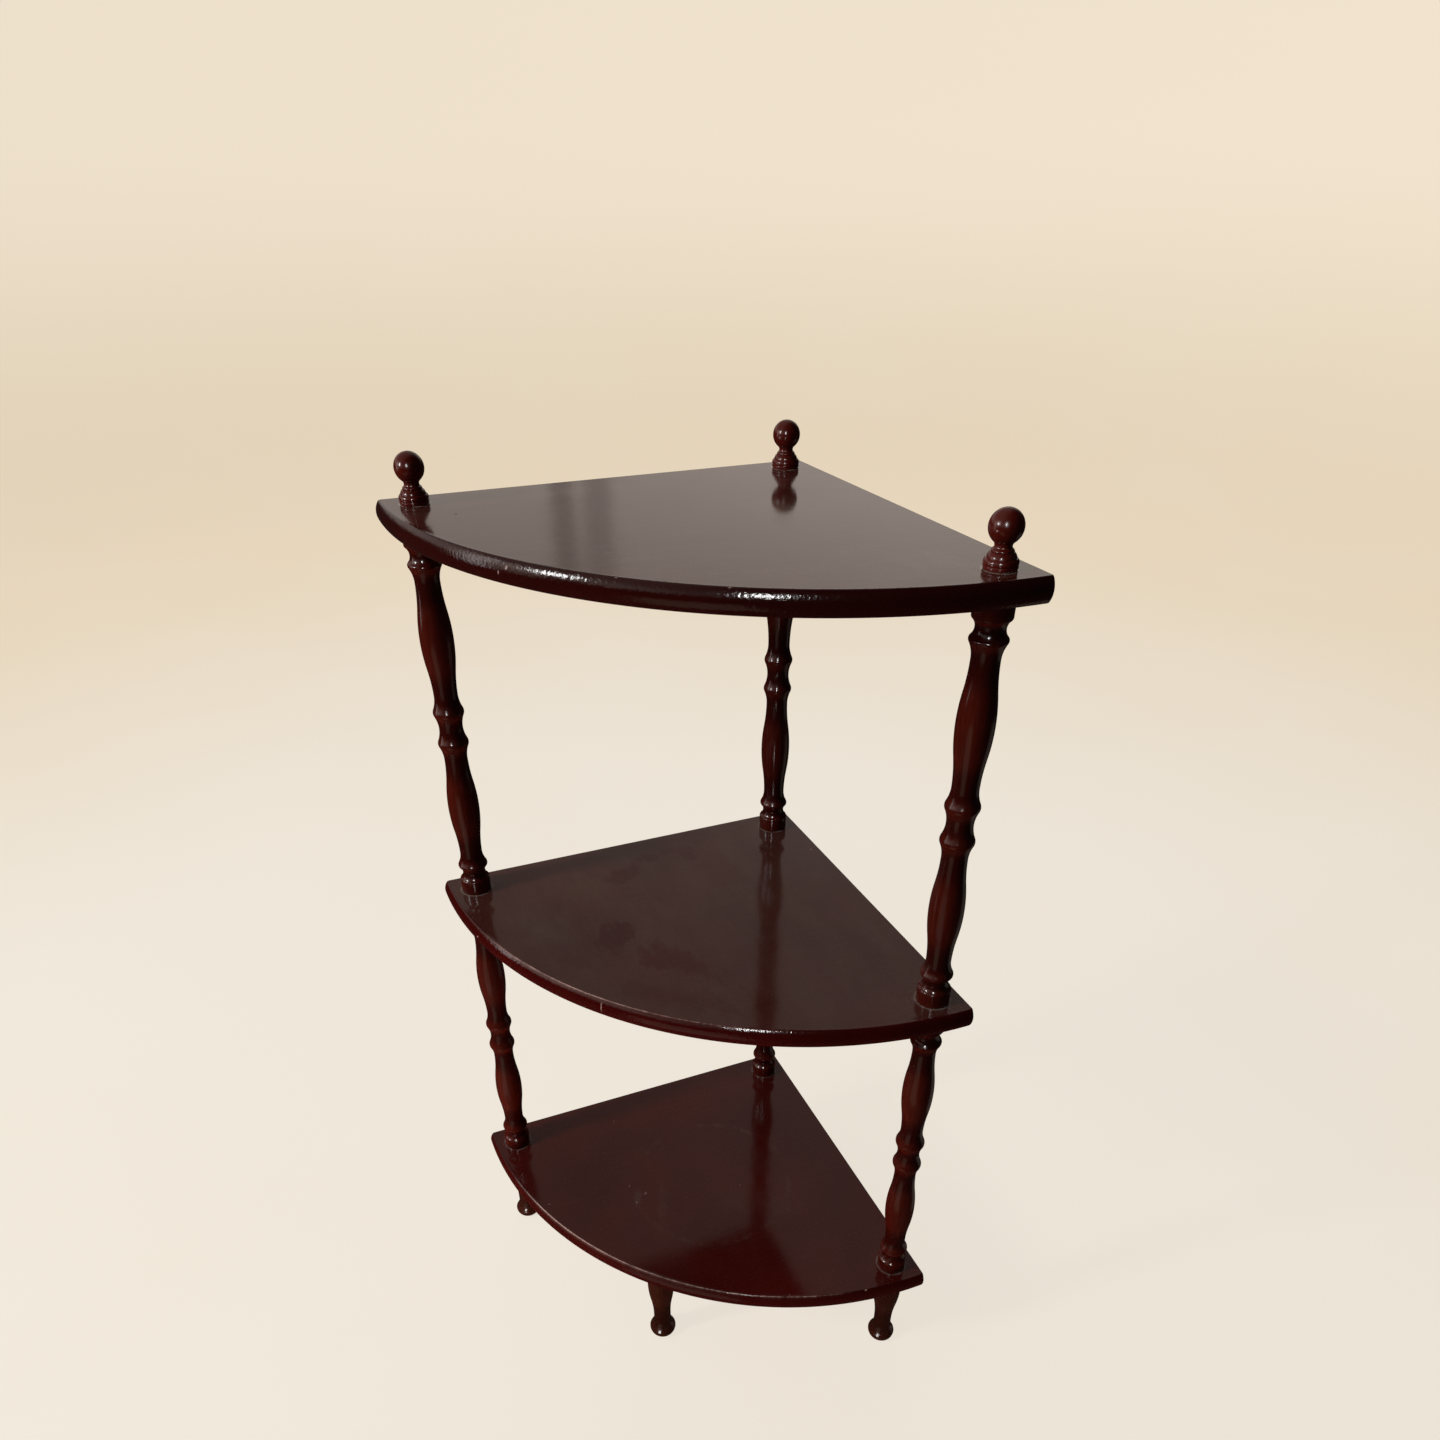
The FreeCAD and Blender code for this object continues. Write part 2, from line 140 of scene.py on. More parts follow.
def heightOf(tree, place):
    return addNode(tree, "ShaderNodeSeparateXYZ", None, {0: place}).outputs[2]


def distance(tree, place, point=(0, 0, 0)):
    return vectors(tree, "DISTANCE", place, point)["Value"]


def attribute(tree, name):
    return addNode(tree, "ShaderNodeAttribute", {"attribute_name": name}).outputs["Fac"]


def bumps(tree, height, depth, below=None):
    inputs = {"Height": height, "Distance": depth, "Strength": 1.0}
    if below:
        inputs["Normal"] = below
    return addNode(tree, "ShaderNodeBump", None, inputs).outputs[0]


def newFinish(name):
    material = bpy.data.materials.new(name)
    material.use_nodes = True
    tree = material.node_tree
    tree.nodes.clear()
    shader = addNode(tree, "ShaderNodeBsdfPrincipled")
    addNode(tree, "ShaderNodeOutputMaterial", None, {"Surface": shader.outputs[0]})
    place = addNode(tree, "ShaderNodeTexCoord").outputs["Object"]
    return material, tree, shader, place


def feed(tree, shader, **sockets):
    for name, value in sockets.items():
        plug(tree, shader.inputs[name.replace("_", " ")], value)


# turned profiles: points are (radius, height) pairs, from the foot of the piece up

def arc(x, y, radius, start, end, steps):
    angles = [start + (end - start) * i / steps for i in range(steps + 1)]
    return [(x + radius * math.cos(a), y + radius * math.sin(a)) for a in angles]


def ogee(start, end, turn, steps=8):
    # two arcs that meet at the height turn, upright where they leave start and where they reach end
    step = end[0] - start[0]
    rise = end[1] - start[1]
    bothRadii = (rise ** 2 + step ** 2) / (2 * step)
    share = (turn - start[1]) / rise
    sweep = 2 * math.atan(abs(step) / rise)
    angles = [sweep * i / steps for i in range(1, steps + 1)]
    low, high = bothRadii * share, bothRadii * (1 - share)
    first = [(start[0] + low * (1 - math.cos(a)), start[1] + abs(low) * math.sin(a)) for a in angles]
    second = [(end[0] - high * (1 - math.cos(a)), end[1] - abs(high) * math.sin(a)) for a in angles]
    return first + second[-2::-1] + [end]


def bow(start, end, bulge, steps=8):
    # an arc that stands out from the straight line by bulge
    middle = (Vector(start) + Vector(end)) / 2
    along = Vector(end) - Vector(start)
    outward = Vector((along.y, -along.x)).normalized()
    radius = (along.length ** 2 / 4 + bulge ** 2) / (2 * bulge)
    centre = middle + outward * (bulge - radius)
    half = math.asin(along.length / 2 / radius)
    points = []
    for i in range(1, steps + 1):
        angle = half * (2 * i / steps - 1)
        point = outward * math.cos(angle) + along.normalized() * math.sin(angle)
        points.append(tuple(centre + point * radius))
    return points


def swing(start, end, steps):
    # an arc that leaves start on a slant and is upright at end
    step = end[0] - start[0]
    rise = end[1] - start[1]
    radius = (step ** 2 + rise ** 2) / (2 * step)
    sweep = math.asin(rise / abs(radius))
    if abs(step) > rise:
        sweep = math.pi - sweep
    angles = [sweep * (1 - i / steps) for i in range(1, steps + 1)]
    return [(end[0] - radius * (1 - math.cos(a)), end[1] - abs(radius) * math.sin(a)) for a in angles]


def turned(stations):
    # straight where the radius holds, an ogee where it changes
    # a station may say at what height the ogee that leads to it turns over
    points = [stations[0]]
    for (radius, height, *_), (nextRadius, nextHeight, *turn) in zip(stations, stations[1:]):
        end = (nextRadius, nextHeight)
        halfway = (height + nextHeight) / 2
        points += [end] if radius == nextRadius else ogee((radius, height), end, *(turn or [halfway]))
    return points


def easedRim(radius, height, ease, steps=4):
    # the softened corner at the top end of a turning
    return arc(radius - ease, height - ease, ease, 0.0, math.pi / 2, steps)


# hidden bores that the bolts and inserts sit in, with clearances round the hardware
bores = {
    "fit": 0.1 * mm,
    "end": 1 * mm,
    "boltHole": 0.5 * mm,
    "sides": 32,            # of a bore in a board
}


def nodeRadius(node):
    low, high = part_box(node)
    return (high.x - low.x) / 2


def nodeAxis(node):
    low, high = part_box(node)
    return (low.x + high.x) / 2, (low.y + high.y) / 2


def insertSteps(insert):
    # the insert's sleeve and flange radii and its flange thickness, read from its mesh
    points = [vertex.co for vertex in frame["nodes"][insert].data.vertices]
    x, y = nodeAxis(insert)
    reaches = [math.hypot(point.x - x, point.y - y) for point in points]
    flange = nodeRadius(insert)
    onRim = flange - bores["fit"]
    rims = [point.z for point, reach in zip(points, reaches) if reach > onRim]
    sleeve = max(reach for reach in reaches if reach < onRim)
    return sleeve, flange, max(rims) - min(rims)


def revolve(name, profile, sides, axis=(0, 0)):
    points, faces, rings = [], [], []
    for radius, height in profile:
        ring = arc(*axis, radius, 0.0, 2 * math.pi, sides)[:-1] if radius else [axis]
        rings.append((len(points), len(ring)))
        points += [(*point, height) for point in ring]
    for (low, lowCount), (high, highCount) in zip(rings, rings[1:]):
        for i in range(sides):
            j = (i + 1) % sides
            if lowCount == 1:
                faces.append((low, high + j, high + i))
            elif highCount == 1:
                faces.append((low + i, low + j, high))
            else:
                faces.append((low + i, low + j, high + j, high + i))
    mesh = bpy.data.meshes.new(name)
    mesh.from_pydata(points, [], faces)
    return mesh


def tidyNormals(mesh):
    work = bmesh.new()
    work.from_mesh(mesh)
    bmesh.ops.recalc_face_normals(work, faces=work.faces[:])
    work.to_mesh(mesh)
    work.free()


def addObject(name, data):
    added = bpy.data.objects.new(name, data)
    bpy.context.scene.collection.objects.link(added)
    return added


def addPiece(name, mesh, finish, node):
    piece = addObject(name, mesh)
    mesh.materials.append(finish)
    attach(piece, "root")
    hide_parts(node)


latheShape = {
    "sides": 96,
    "sharpAngle": 34,
    "boreShare": 0.6,       # a radius under this share of the widest is a bore, not a hollow
}


def lathe(node, profile, finish, hollowDarkening=1.0):
    # turns a profile that starts and ends on the axis, and marks how deep each ring lies in a hollow,
    # where the colour is made darker
    sides = latheShape["sides"]
    radii = [radius for radius, height in profile]
    widest = max(radii)
    narrowest = min(r for r in radii if r > latheShape["boreShare"] * widest)
    hollows = []
    for radius in radii:
        hollow = hollowDarkening * min(1.0, max(0.0, (widest - radius) / (widest - narrowest)))
        hollows += [hollow] * (sides if radius else 1)
    mesh = revolve(node + "_turning", profile, sides, nodeAxis(node))
    mesh.attributes.new("hollow", "FLOAT", "POINT").data.foreach_set("value", hollows)
    tidyNormals(mesh)
    mesh.shade_smooth()
    mesh.set_sharp_from_angle(angle=math.radians(latheShape["sharpAngle"]))
    addPiece(node + "_turning", mesh, finish, node)


# finishes

lacquerIor = 1.5
# colour in the hollows (darker), on the full round parts, and where paler grain shows through; the
# finials' colours are lighter and the feet's darker and browner than the spindles', partly stain and
# partly painted light and shade
turningStainsAndLight = {
    "spindle": {
        "deep": (0.028, 0.0014, 0.0009, 1),
        "body": (0.092, 0.0078, 0.0036, 1),
        "streak": (0.125, 0.0165, 0.0066, 1),
        "roughness": (0.13, 0.20),
    },
    # lighter than the spindles' as painted light on the finials
    "finial": {
        "deep": (0.070, 0.0040, 0.0020, 1),
        "body": (0.138, 0.0100, 0.0048, 1),
        "streak": (0.170, 0.0180, 0.0078, 1),
        "roughness": (0.17, 0.23),
    },
    # browner, and darker than the spindles' as painted shade on the feet
    "foot": {
        "deep": (0.030, 0.0050, 0.0024, 1),
        "body": (0.056, 0.0105, 0.0046, 1),
        "streak": (0.078, 0.0190, 0.0085, 1),
        "roughness": (0.13, 0.20),
    },
}
# scales are per metre; what shows does so between two noise values
turningFinish = {
    "grainAcross": 420.0,
    "grainAlong": 14.0,
    "grainShows": (0.45, 0.72),
    "cloudScale": 38.0,
    "cloudStretch": (1, 1, 0.4),
    "cloudShows": (0.35, 0.75),
    "cloudShare": 0.5,
    "hollowDarkBetween": (0.45, 1.0),        # from a slight hollow to the deepest
    "hollowDarkShare": 0.75,
    "smudgeScale": 90.0,
    "smudgeShows": (0.3, 0.75),
    "peelScale": 900.0,
    "peel": 0.005 * mm,
}


def turningLacquer(name, stain):
    t = turningFinish
    material, tree, shader, place = newFinish(name)
    grainPlace = stretched(tree, place, (t["grainAcross"], t["grainAcross"], t["grainAlong"]))
    grain = mottle(tree, grainPlace, 1.0, detail=4.0, roughness=0.6)
    cloud = mottle(tree, stretched(tree, place, t["cloudStretch"]), t["cloudScale"], detail=3.0)
    colour = mixColour(tree, fade(tree, grain, *t["grainShows"]), stain["body"], stain["streak"])
    clouded = fade(tree, cloud, *t["cloudShows"], 0.0, t["cloudShare"])
    colour = mixColour(tree, clouded, colour, stain["body"])
    # darker towards the bottom of each hollow
    hollowDark = fade(tree, attribute(tree, "hollow"), *t["hollowDarkBetween"], 0.0, t["hollowDarkShare"])
    colour = mixColour(tree, hollowDark, colour, stain["deep"])
    smudge = mottle(tree, place, t["smudgeScale"], detail=3.0)
    peel = mottle(tree, place, t["peelScale"])
    feed(tree, shader, Base_Color=colour, IOR=lacquerIor,
         Roughness=fade(tree, smudge, *t["smudgeShows"], *stain["roughness"]),
         Normal=bumps(tree, peel, t["peel"]))
    return material


boardFinish = {
    "deep": (0.072, 0.0023, 0.0018, 1),
    "warm": (0.110, 0.0050, 0.0030, 1),
    # darker colour of the front edges: a stain, and painted shade laid on more on some boards than others
    # by edgeShade
    "edgeStainAndShade": (0.018, 0.0040, 0.0030, 1),
    "dust": (0.31, 0.26, 0.21, 1),
    "ringDust": (0.72, 0.65, 0.57, 1),
    "speck": (0.50, 0.42, 0.36, 1),
    # pale pink where the lacquer is rubbed off the arris, made brighter as a painted highlight of a
    # window's glint
    "worn": (0.92, 0.60, 0.53, 1),
    "chip": (0.70, 0.46, 0.40, 1),
    "dark": (0.012, 0.004, 0.004, 1),
    "edgeRoughness": 0.13,
    "chipRoughness": 0.35,      # added where the wood is bare
    "edgePeel": 0.18 * mm,
    "pit": 0.7,                 # depth of a dark mark, as a share of the edge's pebbles
    "facePeel": 0.006 * mm,
    "wave": 0.05 * mm,          # slow unevenness of the film, so that reflections aren't ruler straight
    "filmLeast": 0.45,          # share of the dust film where it is thinnest
    "ragged": 1.5,              # how far the rims of wiped patches wander, as a share of their size
    "ringLip": 0.3 * mm,        # the dust line round a turning: where it is full, starts to fade and ends
    "ringCore": 0.6 * mm,
    "ringReach": 2.4 * mm,
    "dustReach": 16 * mm,       # how far specks gather round a turning
    "speckNear": 0.5,           # share of specks added there, and share all over
    "speckAll": 0.10,
    "wipeStretch": (1.0, 0.35, 1.0),
    "strokeStretch": (1.0, 0.45, 1.0),
    "brushTurn": 22,            # fine streaks left by a cloth, in degrees from the walls
    "brushScale": (26.0, 620.0, 1.0),
    "scales": {                 # per metre
        "cloud": 9.0,
        "wipe": 26.0,
        "wave": 60.0,
        "stroke": 75.0,
        "ring": 120.0,
        "pebble": 430.0,
        "speck": 950.0,
        "peel": 1100.0,
    },
    "shows": {                  # between these noise values
        "cloud": (0.3, 0.75),
        "film": (0.25, 0.8),
        "ring": (0.32, 0.54),
        "brush": (0.40, 0.80),
        "potRing": (0.46, 0.66),
        "speck": (0.72, 0.80),
        "sheen": (0.3, 0.8),
    },
}


def boardPlace(board, radius, angle):
    # a place on a board from its distance to the walls' corner and its angle from the left wall
    turn = math.radians(angle)
    return board["corner"][0] - radius * math.cos(turn), board["corner"][1] - radius * math.sin(turn)


def oval(tree, flatPlace, board, mark, wander=None):
    # 1 within an oval mark and 0 beyond it, with its long way along the bow unless it is turned
    x, y = boardPlace(board, mark["radius"] * mm, mark["angle"])
    turn = math.radians(mark["angle"] + 90 + mark["turn"])
    scale = (mark["long"] * mm / 2, mark["wide"] * mm / 2, 1)
    inputs = {"Vector": flatPlace, "Location": (x, y, 0), "Rotation": (0, 0, turn), "Scale": scale}
    local = addNode(tree, "ShaderNodeMapping", {"vector_type": "TEXTURE"}, inputs).outputs[0]
    reach = distance(tree, local)
    if wander:
        reach = maths(tree, "ADD", reach, wander)
    return fade(tree, reach, 1.0, mark["core"], 0.0, mark["share"])


def overlay(tree, masks):
    total = masks[0]
    for mask in masks[1:]:
        total = maths(tree, "MAXIMUM", total, mask)
    return total


def footDust(tree, place, flatPlace, feet):
    # a broken pale line where a turning stands on the board, and where the specks round it gather
    b = boardFinish
    rings, nears = [], []
    for (x, y), radius in feet:
        reach = distance(tree, flatPlace, (x, y, 0))
        inner = fade(tree, reach, radius, radius + b["ringLip"])
        outer = fade(tree, reach, radius + b["ringCore"], radius + b["ringReach"], 1.0, 0.0)
        rings.append(times(tree, inner, outer))
        nears.append(fade(tree, reach, radius + b["dustReach"], radius))
    broken = fade(tree, mottle(tree, place, b["scales"]["ring"], detail=3.0), *b["shows"]["ring"])
    return times(tree, overlay(tree, rings), broken), overlay(tree, nears)


def potMark(tree, flatPlace, board, strokes):
    # the broken pale ring that a round pot leaves
    mark = board["potRing"]
    x, y = boardPlace(board, mark["radius"] * mm, mark["angle"])
    away = distance(tree, flatPlace, (x, y, 0))
    off = maths(tree, "ABSOLUTE", maths(tree, "SUBTRACT", away, mark["across"] * mm / 2))
    line = fade(tree, off, mark["wide"] * mm / 2, 0.0)
    broken = fade(tree, strokes, *boardFinish["shows"]["potRing"], 0.0, mark["share"])
    return times(tree, line, broken)


def boardLacquer(name, board, feet):
    b = boardFinish
    scales, shows = b["scales"], b["shows"]
    material, tree, shader, place = newFinish(name)
    flatPlace = flatten(tree, place)
    edge, chip, worn = [attribute(tree, key) for key in ("edge", "chip", "worn")]
    onTop = maths(tree, "GREATER_THAN", heightOf(tree, place), board["faceLevel"])
    onFace = times(tree, maths(tree, "SUBTRACT", 1.0, edge), onTop)

    cloud = mottle(tree, place, scales["cloud"], detail=3.0)
    colour = mixColour(tree, fade(tree, cloud, *shows["cloud"]), b["deep"], b["warm"])
    # front edges darkened per board, partly a darker stain and partly painted shade where an edge gets
    # little light
    colour = mixColour(tree, times(tree, edge, board["edgeShade"]), colour, b["edgeStainAndShade"])

    # dust film, wiped thin in ragged patches, with a cloth's streaks, hazes and the ring of a pot
    wipePlace = stretched(tree, place, b["wipeStretch"])
    wipe = mottle(tree, wipePlace, scales["wipe"], detail=4.0, roughness=0.6)
    film = fade(tree, wipe, *shows["film"], b["filmLeast"], 1.0)
    strokePlace = stretched(tree, place, b["strokeStretch"])
    strokes = mottle(tree, strokePlace, scales["stroke"], detail=6.0, roughness=0.62)
    wander = times(tree, maths(tree, "SUBTRACT", strokes, 0.5), 2 * b["ragged"])
    wiped = overlay(tree, [oval(tree, flatPlace, board, mark, wander) for mark in board["smears"]])
    film = times(tree, film, maths(tree, "SUBTRACT", 1.0, wiped))
    film = times(tree, film, board["film"])
    brushPlace = stretched(tree, place, b["brushScale"], b["brushTurn"])
    brush = mottle(tree, brushPlace, 1.0, detail=3.0, roughness=0.6)
    film = maths(tree, "ADD", film, fade(tree, brush, *shows["brush"], 0.0, board["brushed"]))
    haze = overlay(tree, [oval(tree, flatPlace, board, mark, wander) for mark in board["hazes"]])
    film = maths(tree, "ADD", film, haze)
    if "potRing" in board:
        film = maths(tree, "ADD", film, potMark(tree, flatPlace, board, strokes))
    colour = mixColour(tree, times(tree, film, onFace), colour, b["dust"])

    # dust round the turnings
    ring, near = footDust(tree, place, flatPlace, feet)
    ring = times(tree, ring, board["ringShare"])
    colour = mixColour(tree, times(tree, ring, onFace), colour, b["ringDust"])
    speck = fade(tree, mottle(tree, place, scales["speck"], detail=0.0), *shows["speck"])
    speckShare = maths(tree, "ADD", times(tree, near, b["speckNear"]), b["speckAll"])
    specks = times(tree, speck, speckShare)
    colour = mixColour(tree, times(tree, specks, onFace), colour, b["speck"])

    # small marks in the lacquer; the dark ones are pits
    relief = times(tree, mottle(tree, place, scales["pebble"]), edge)
    for key, tone in (("darkMarks", "dark"), ("paleMarks", "chip")):
        if key in board:
            masks = overlay(tree, [oval(tree, flatPlace, board, mark) for mark in board[key]])
            masks = times(tree, masks, onFace)
            colour = mixColour(tree, masks, colour, b[tone])
            if tone == "dark":
                relief = maths(tree, "SUBTRACT", relief, times(tree, masks, b["pit"]))
    # the arris line: rubbed-off lacquer with a painted glint on it
    colour = mixColour(tree, worn, colour, b["worn"])
    colour = mixColour(tree, chip, colour, b["chip"])

    rough = fade(tree, wipe, *shows["sheen"], *board["roughness"])
    rough = blend(tree, edge, rough, b["edgeRoughness"])
    rough = maths(tree, "ADD", rough, times(tree, chip, b["chipRoughness"]))
    pebbled = bumps(tree, relief, b["edgePeel"])
    waved = bumps(tree, mottle(tree, place, scales["wave"]), b["wave"], pebbled)
    feed(tree, shader, Base_Color=colour, IOR=lacquerIor, Roughness=rough,
         Normal=bumps(tree, mottle(tree, place, scales["peel"]), b["facePeel"], waved))
    return material


turnings = {kind: turningLacquer(kind + "_lacquer", stain) for kind, stain in turningStainsAndLight.items()}
print("turning finishes ready")


# spindles: turned alike from the middle out to both ends

spindle = {
    "drumDiameter": 25 * mm,
    "drumHeight": 11 * mm,
    "shoulderEase": 1.2 * mm,
    "shoulderRun": 7 * mm,
    "hollowDiameter": 18.8 * mm,
    "outerBeadDrumRun": 7 * mm,
    "outerBeadCrest": 1.5 * mm,
    "outerBeadDiameter": 24.4 * mm,
    "outerBeadNeckRun": 12 * mm,
    "neckDiameter": 18.2 * mm,
    "vaseDiameter": 25 * mm,
    "innerBeadNeckRun": 13.5 * mm,
    "innerBeadCrest": 2.2 * mm,
    "innerBeadDiameter": 24 * mm,
    "innerBeadWaistRun": 12.9 * mm,
    "waistDiameter": 18.4 * mm,
    "rimEase": 0.5 * mm,
}


def spindleOutline(half):
    s = spindle
    waist, neck = s["waistDiameter"] / 2, s["neckDiameter"] / 2
    hollow, drum = s["hollowDiameter"] / 2, s["drumDiameter"] / 2
    innerBead = s["innerBeadWaistRun"]
    innerNeck = innerBead + s["innerBeadNeckRun"]
    drumFoot = half - s["drumHeight"]
    hollowHeight = drumFoot - s["shoulderRun"]
    outerBead = hollowHeight - s["outerBeadDrumRun"]
    outerNeck = outerBead - s["outerBeadNeckRun"]
    upper = turned([
        (waist, 0.0),
        (s["innerBeadDiameter"] / 2, innerBead, innerBead - s["innerBeadCrest"]),
        (neck, innerNeck, innerBead + s["innerBeadCrest"]),
        (s["vaseDiameter"] / 2, (innerNeck + outerNeck) / 2),
        (neck, outerNeck),
        (s["outerBeadDiameter"] / 2, outerBead, outerBead - s["outerBeadCrest"]),
        (hollow, hollowHeight, outerBead + s["outerBeadCrest"]),
        (drum, drumFoot, drumFoot - s["shoulderEase"]),
    ])
    upper += easedRim(drum, half, s["rimEase"])
    lower = [(radius, -height) for radius, height in reversed(upper)]
    return lower + upper[1:]


def gripBore(bolt, mouth, upward=True):
    # from the end of the bore on the axis to its mouth in a flat face
    low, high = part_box(bolt)
    end = high.z + bores["end"] if upward else low.z - bores["end"]
    radius = nodeRadius(bolt) + bores["fit"]
    return [(0.0, end), (radius, end), (radius, mouth)]


def insertBore(insert, mouth):
    # from the mouth of an insert's stepped bore down to its end on the axis
    sleeve, flange, depth = insertSteps(insert)
    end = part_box(insert)[0].z - bores["end"]
    sleeve += bores["fit"]
    flange += bores["fit"]
    return [(flange, mouth), (flange, mouth - depth), (sleeve, mouth - depth), (sleeve, end), (0.0, end)]


def makeSpindle(node):
    low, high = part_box(node)
    middle = (low.z + high.z) / 2
    outline = [(radius, middle + height) for radius, height in spindleOutline((high.z - low.z) / 2)]
    profile = gripBore(node + "_bolt", low.z) + outline + insertBore(node + "_insert", high.z)
    lathe(node, profile, turnings["spindle"])


posts = ["left", "right", "back"]
for tier in ["upper", "lower"]:
    for post in posts:
        makeSpindle(f"{tier}_{post}_spindle")
print("spindles turned")


# finials: four beads, each a step smaller than the one below, then a neck and a ball

finial = {
    "beads": {
        "base": {"foot": 19.2 * mm, "head": 20.3 * mm, "height": 2.5 * mm, "bulge": 0.35 * mm},
        "bun": {"foot": 20 * mm, "head": 18.4 * mm, "height": 3.9 * mm, "bulge": 0.65 * mm},
        "collar": {"foot": 17.5 * mm, "head": 14 * mm, "height": 3.2 * mm, "bulge": 0.35 * mm},
        "ring": {"foot": 13.2 * mm, "head": 12 * mm, "height": 1.7 * mm, "bulge": 0.4 * mm},
    },
    "neckRise": 1.6 * mm,
    "neckDiameter": 10.3 * mm,
    "ballLift": 1.5 * mm,
    "ballDiameter": 20.4 * mm,
    "stemSteps": 5,
    "neckSteps": 6,
    "ballSteps": 28,
    "hollowDarkening": 0.15,
}


def finialOutline():
    f = finial
    points = []
    height = 0.0
    for bead in f["beads"].values():
        start = (bead["foot"] / 2, height)
        height += bead["height"]
        head = (bead["head"] / 2, height)
        points += [start] + bow(start, head, bead["bulge"])
    neck, ball = f["neckDiameter"] / 2, f["ballDiameter"] / 2
    neckHeight = height + f["neckRise"]
    ballRise = math.sqrt(ball ** 2 - neck ** 2) + f["ballLift"]
    points += swing(head, (neck, neckHeight), f["stemSteps"])
    # from its narrowest the neck swings out to meet the ball on a tangent
    sweepRadius = (neck ** 2 + ballRise ** 2 - ball ** 2) / (2 * (ball - neck))
    lean = math.atan2(ballRise, neck + sweepRadius)
    sweepArc = arc(neck + sweepRadius, neckHeight, sweepRadius, math.pi, math.pi - lean, f["neckSteps"])
    ballHeight = neckHeight + ballRise
    ballArc = arc(0.0, ballHeight, ball, -lean, math.pi / 2, f["ballSteps"])
    points += sweepArc[1:] + ballArc[1:-1] + [(0.0, ballHeight + ball)]
    return points


def makeFinial(node):
    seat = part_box(node)[0].z
    outline = [(radius, seat + height) for radius, height in finialOutline()]
    lathe(node, gripBore(node + "_bolt", seat) + outline, turnings["finial"], finial["hollowDarkening"])


for post in posts:
    makeFinial(f"{post}_finial")
print("finials turned")


# feet: a flared toe, a slim ankle and a block under the board

foot = {
    "soleDiameter": 18 * mm,
    "toeHeight": 7 * mm,
    "toeDiameter": 25 * mm,
    "toeCrest": 2 * mm,
    "toeSteps": 12,
    "ankleRise": 13.5 * mm,
    "ankleDiameter": 16.4 * mm,
    "ankleHeight": 7 * mm,
    "blockHeight": 18 * mm,
    "blockDiameter": 25 * mm,
    "rimEase": 0.5 * mm,
}


def footOutline(height):
    f = foot
    block, ankle = f["blockDiameter"] / 2, f["ankleDiameter"] / 2
    sole = (f["soleDiameter"] / 2, 0.0)
    toe = (f["toeDiameter"] / 2, f["toeHeight"])
    ankleFoot = f["toeHeight"] + f["ankleRise"]
    shank = turned([
        toe,
        (ankle, ankleFoot, f["toeHeight"] + f["toeCrest"]),
        (ankle, ankleFoot + f["ankleHeight"]),
        (block, height - f["blockHeight"]),
    ])
    rim = easedRim(block, height, f["rimEase"])
    return [sole] + swing(sole, toe, f["toeSteps"]) + shank[1:] + rim


def makeFoot(node):
    low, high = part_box(node)
    outline = [(radius, low.z + height) for radius, height in footOutline(high.z - low.z)]
    if node + "_insert" in frame["nodes"]:
        mouth = insertBore(node + "_insert", high.z)
    else:
        mouth = gripBore(node + "_bolt", high.z, upward=False)[::-1]
    lathe(node, [(0.0, low.z)] + outline + mouth, turnings["foot"])


for post in posts + ["front"]:
    makeFoot(f"{post}_foot")
print("feet turned")


# boards: quarter rounds with a crowned front edge, and the knocks and marks each one has

boardShape = {
    "crown": 3 * mm,
    "ease": 1.5 * mm,
    "backEase": 0.8 * mm,
    "tipEase": 1.6 * mm,
    "bowSteps": 720,
    "crownSteps": 16,
    "easeSteps": 6,
    "tipSteps": 5,
    "faceMargins": (0.6, 1.3, 2.3, 4.0),      # rings on the faces beside the edge, in mm
    "edgeFade": 1 * mm,         # how far the edge's finish runs on to the faces
    "faceDepth": 0.3 * mm,      # dust and marks lie on the top face only
    "flatNormal": 0.9999,
    "sharpAngle": 40,
}
knockShape = {
    "reach": 1.5,               # beyond this, in half lengths, a knock does nothing
    "rim": 0.35,                # how ragged its rim is, and how fast that changes
    "perDegree": 9.0,
    "perMm": 1.3,
    "steep": 1.6,               # how soon from the rim it is deep, and bare
    "bare": 3.0,
}
# the line along the arris: rubbed-off lacquer, and a painted highlight of a window's glint that peaks at
# the heart
wearGlintLook = {
    "fadeOut": 8.0,             # degrees over which it starts and ends
    "even": 0.35,
    "patches": [
        {"share": 0.45, "perDegree": 0.35, "seed": 3.1},
        {"share": 0.35, "perDegree": 2.1, "seed": 7.7},
    ],
    # the heart is the painted glint, where a window's reflection falls on the arris
    "heartShare": 0.6,
    "heartWidth": 9.0,          # in degrees
    "lean": 62.0,               # where it sits on the arris, in degrees up from level
    "leanWidth": 16.0,
}


# angles run along the bow from the left wall, radii from the walls' corner; lengths in mm
def chipAt(angle, down, long, high, deep):
    return dict(angle=angle, down=down, long=long, high=high, deep=deep)


def markAt(radius, angle, long, wide, turn=0, core=0.3, share=1.0):
    return dict(radius=radius, angle=angle, long=long, wide=wide, turn=turn, core=core, share=share)


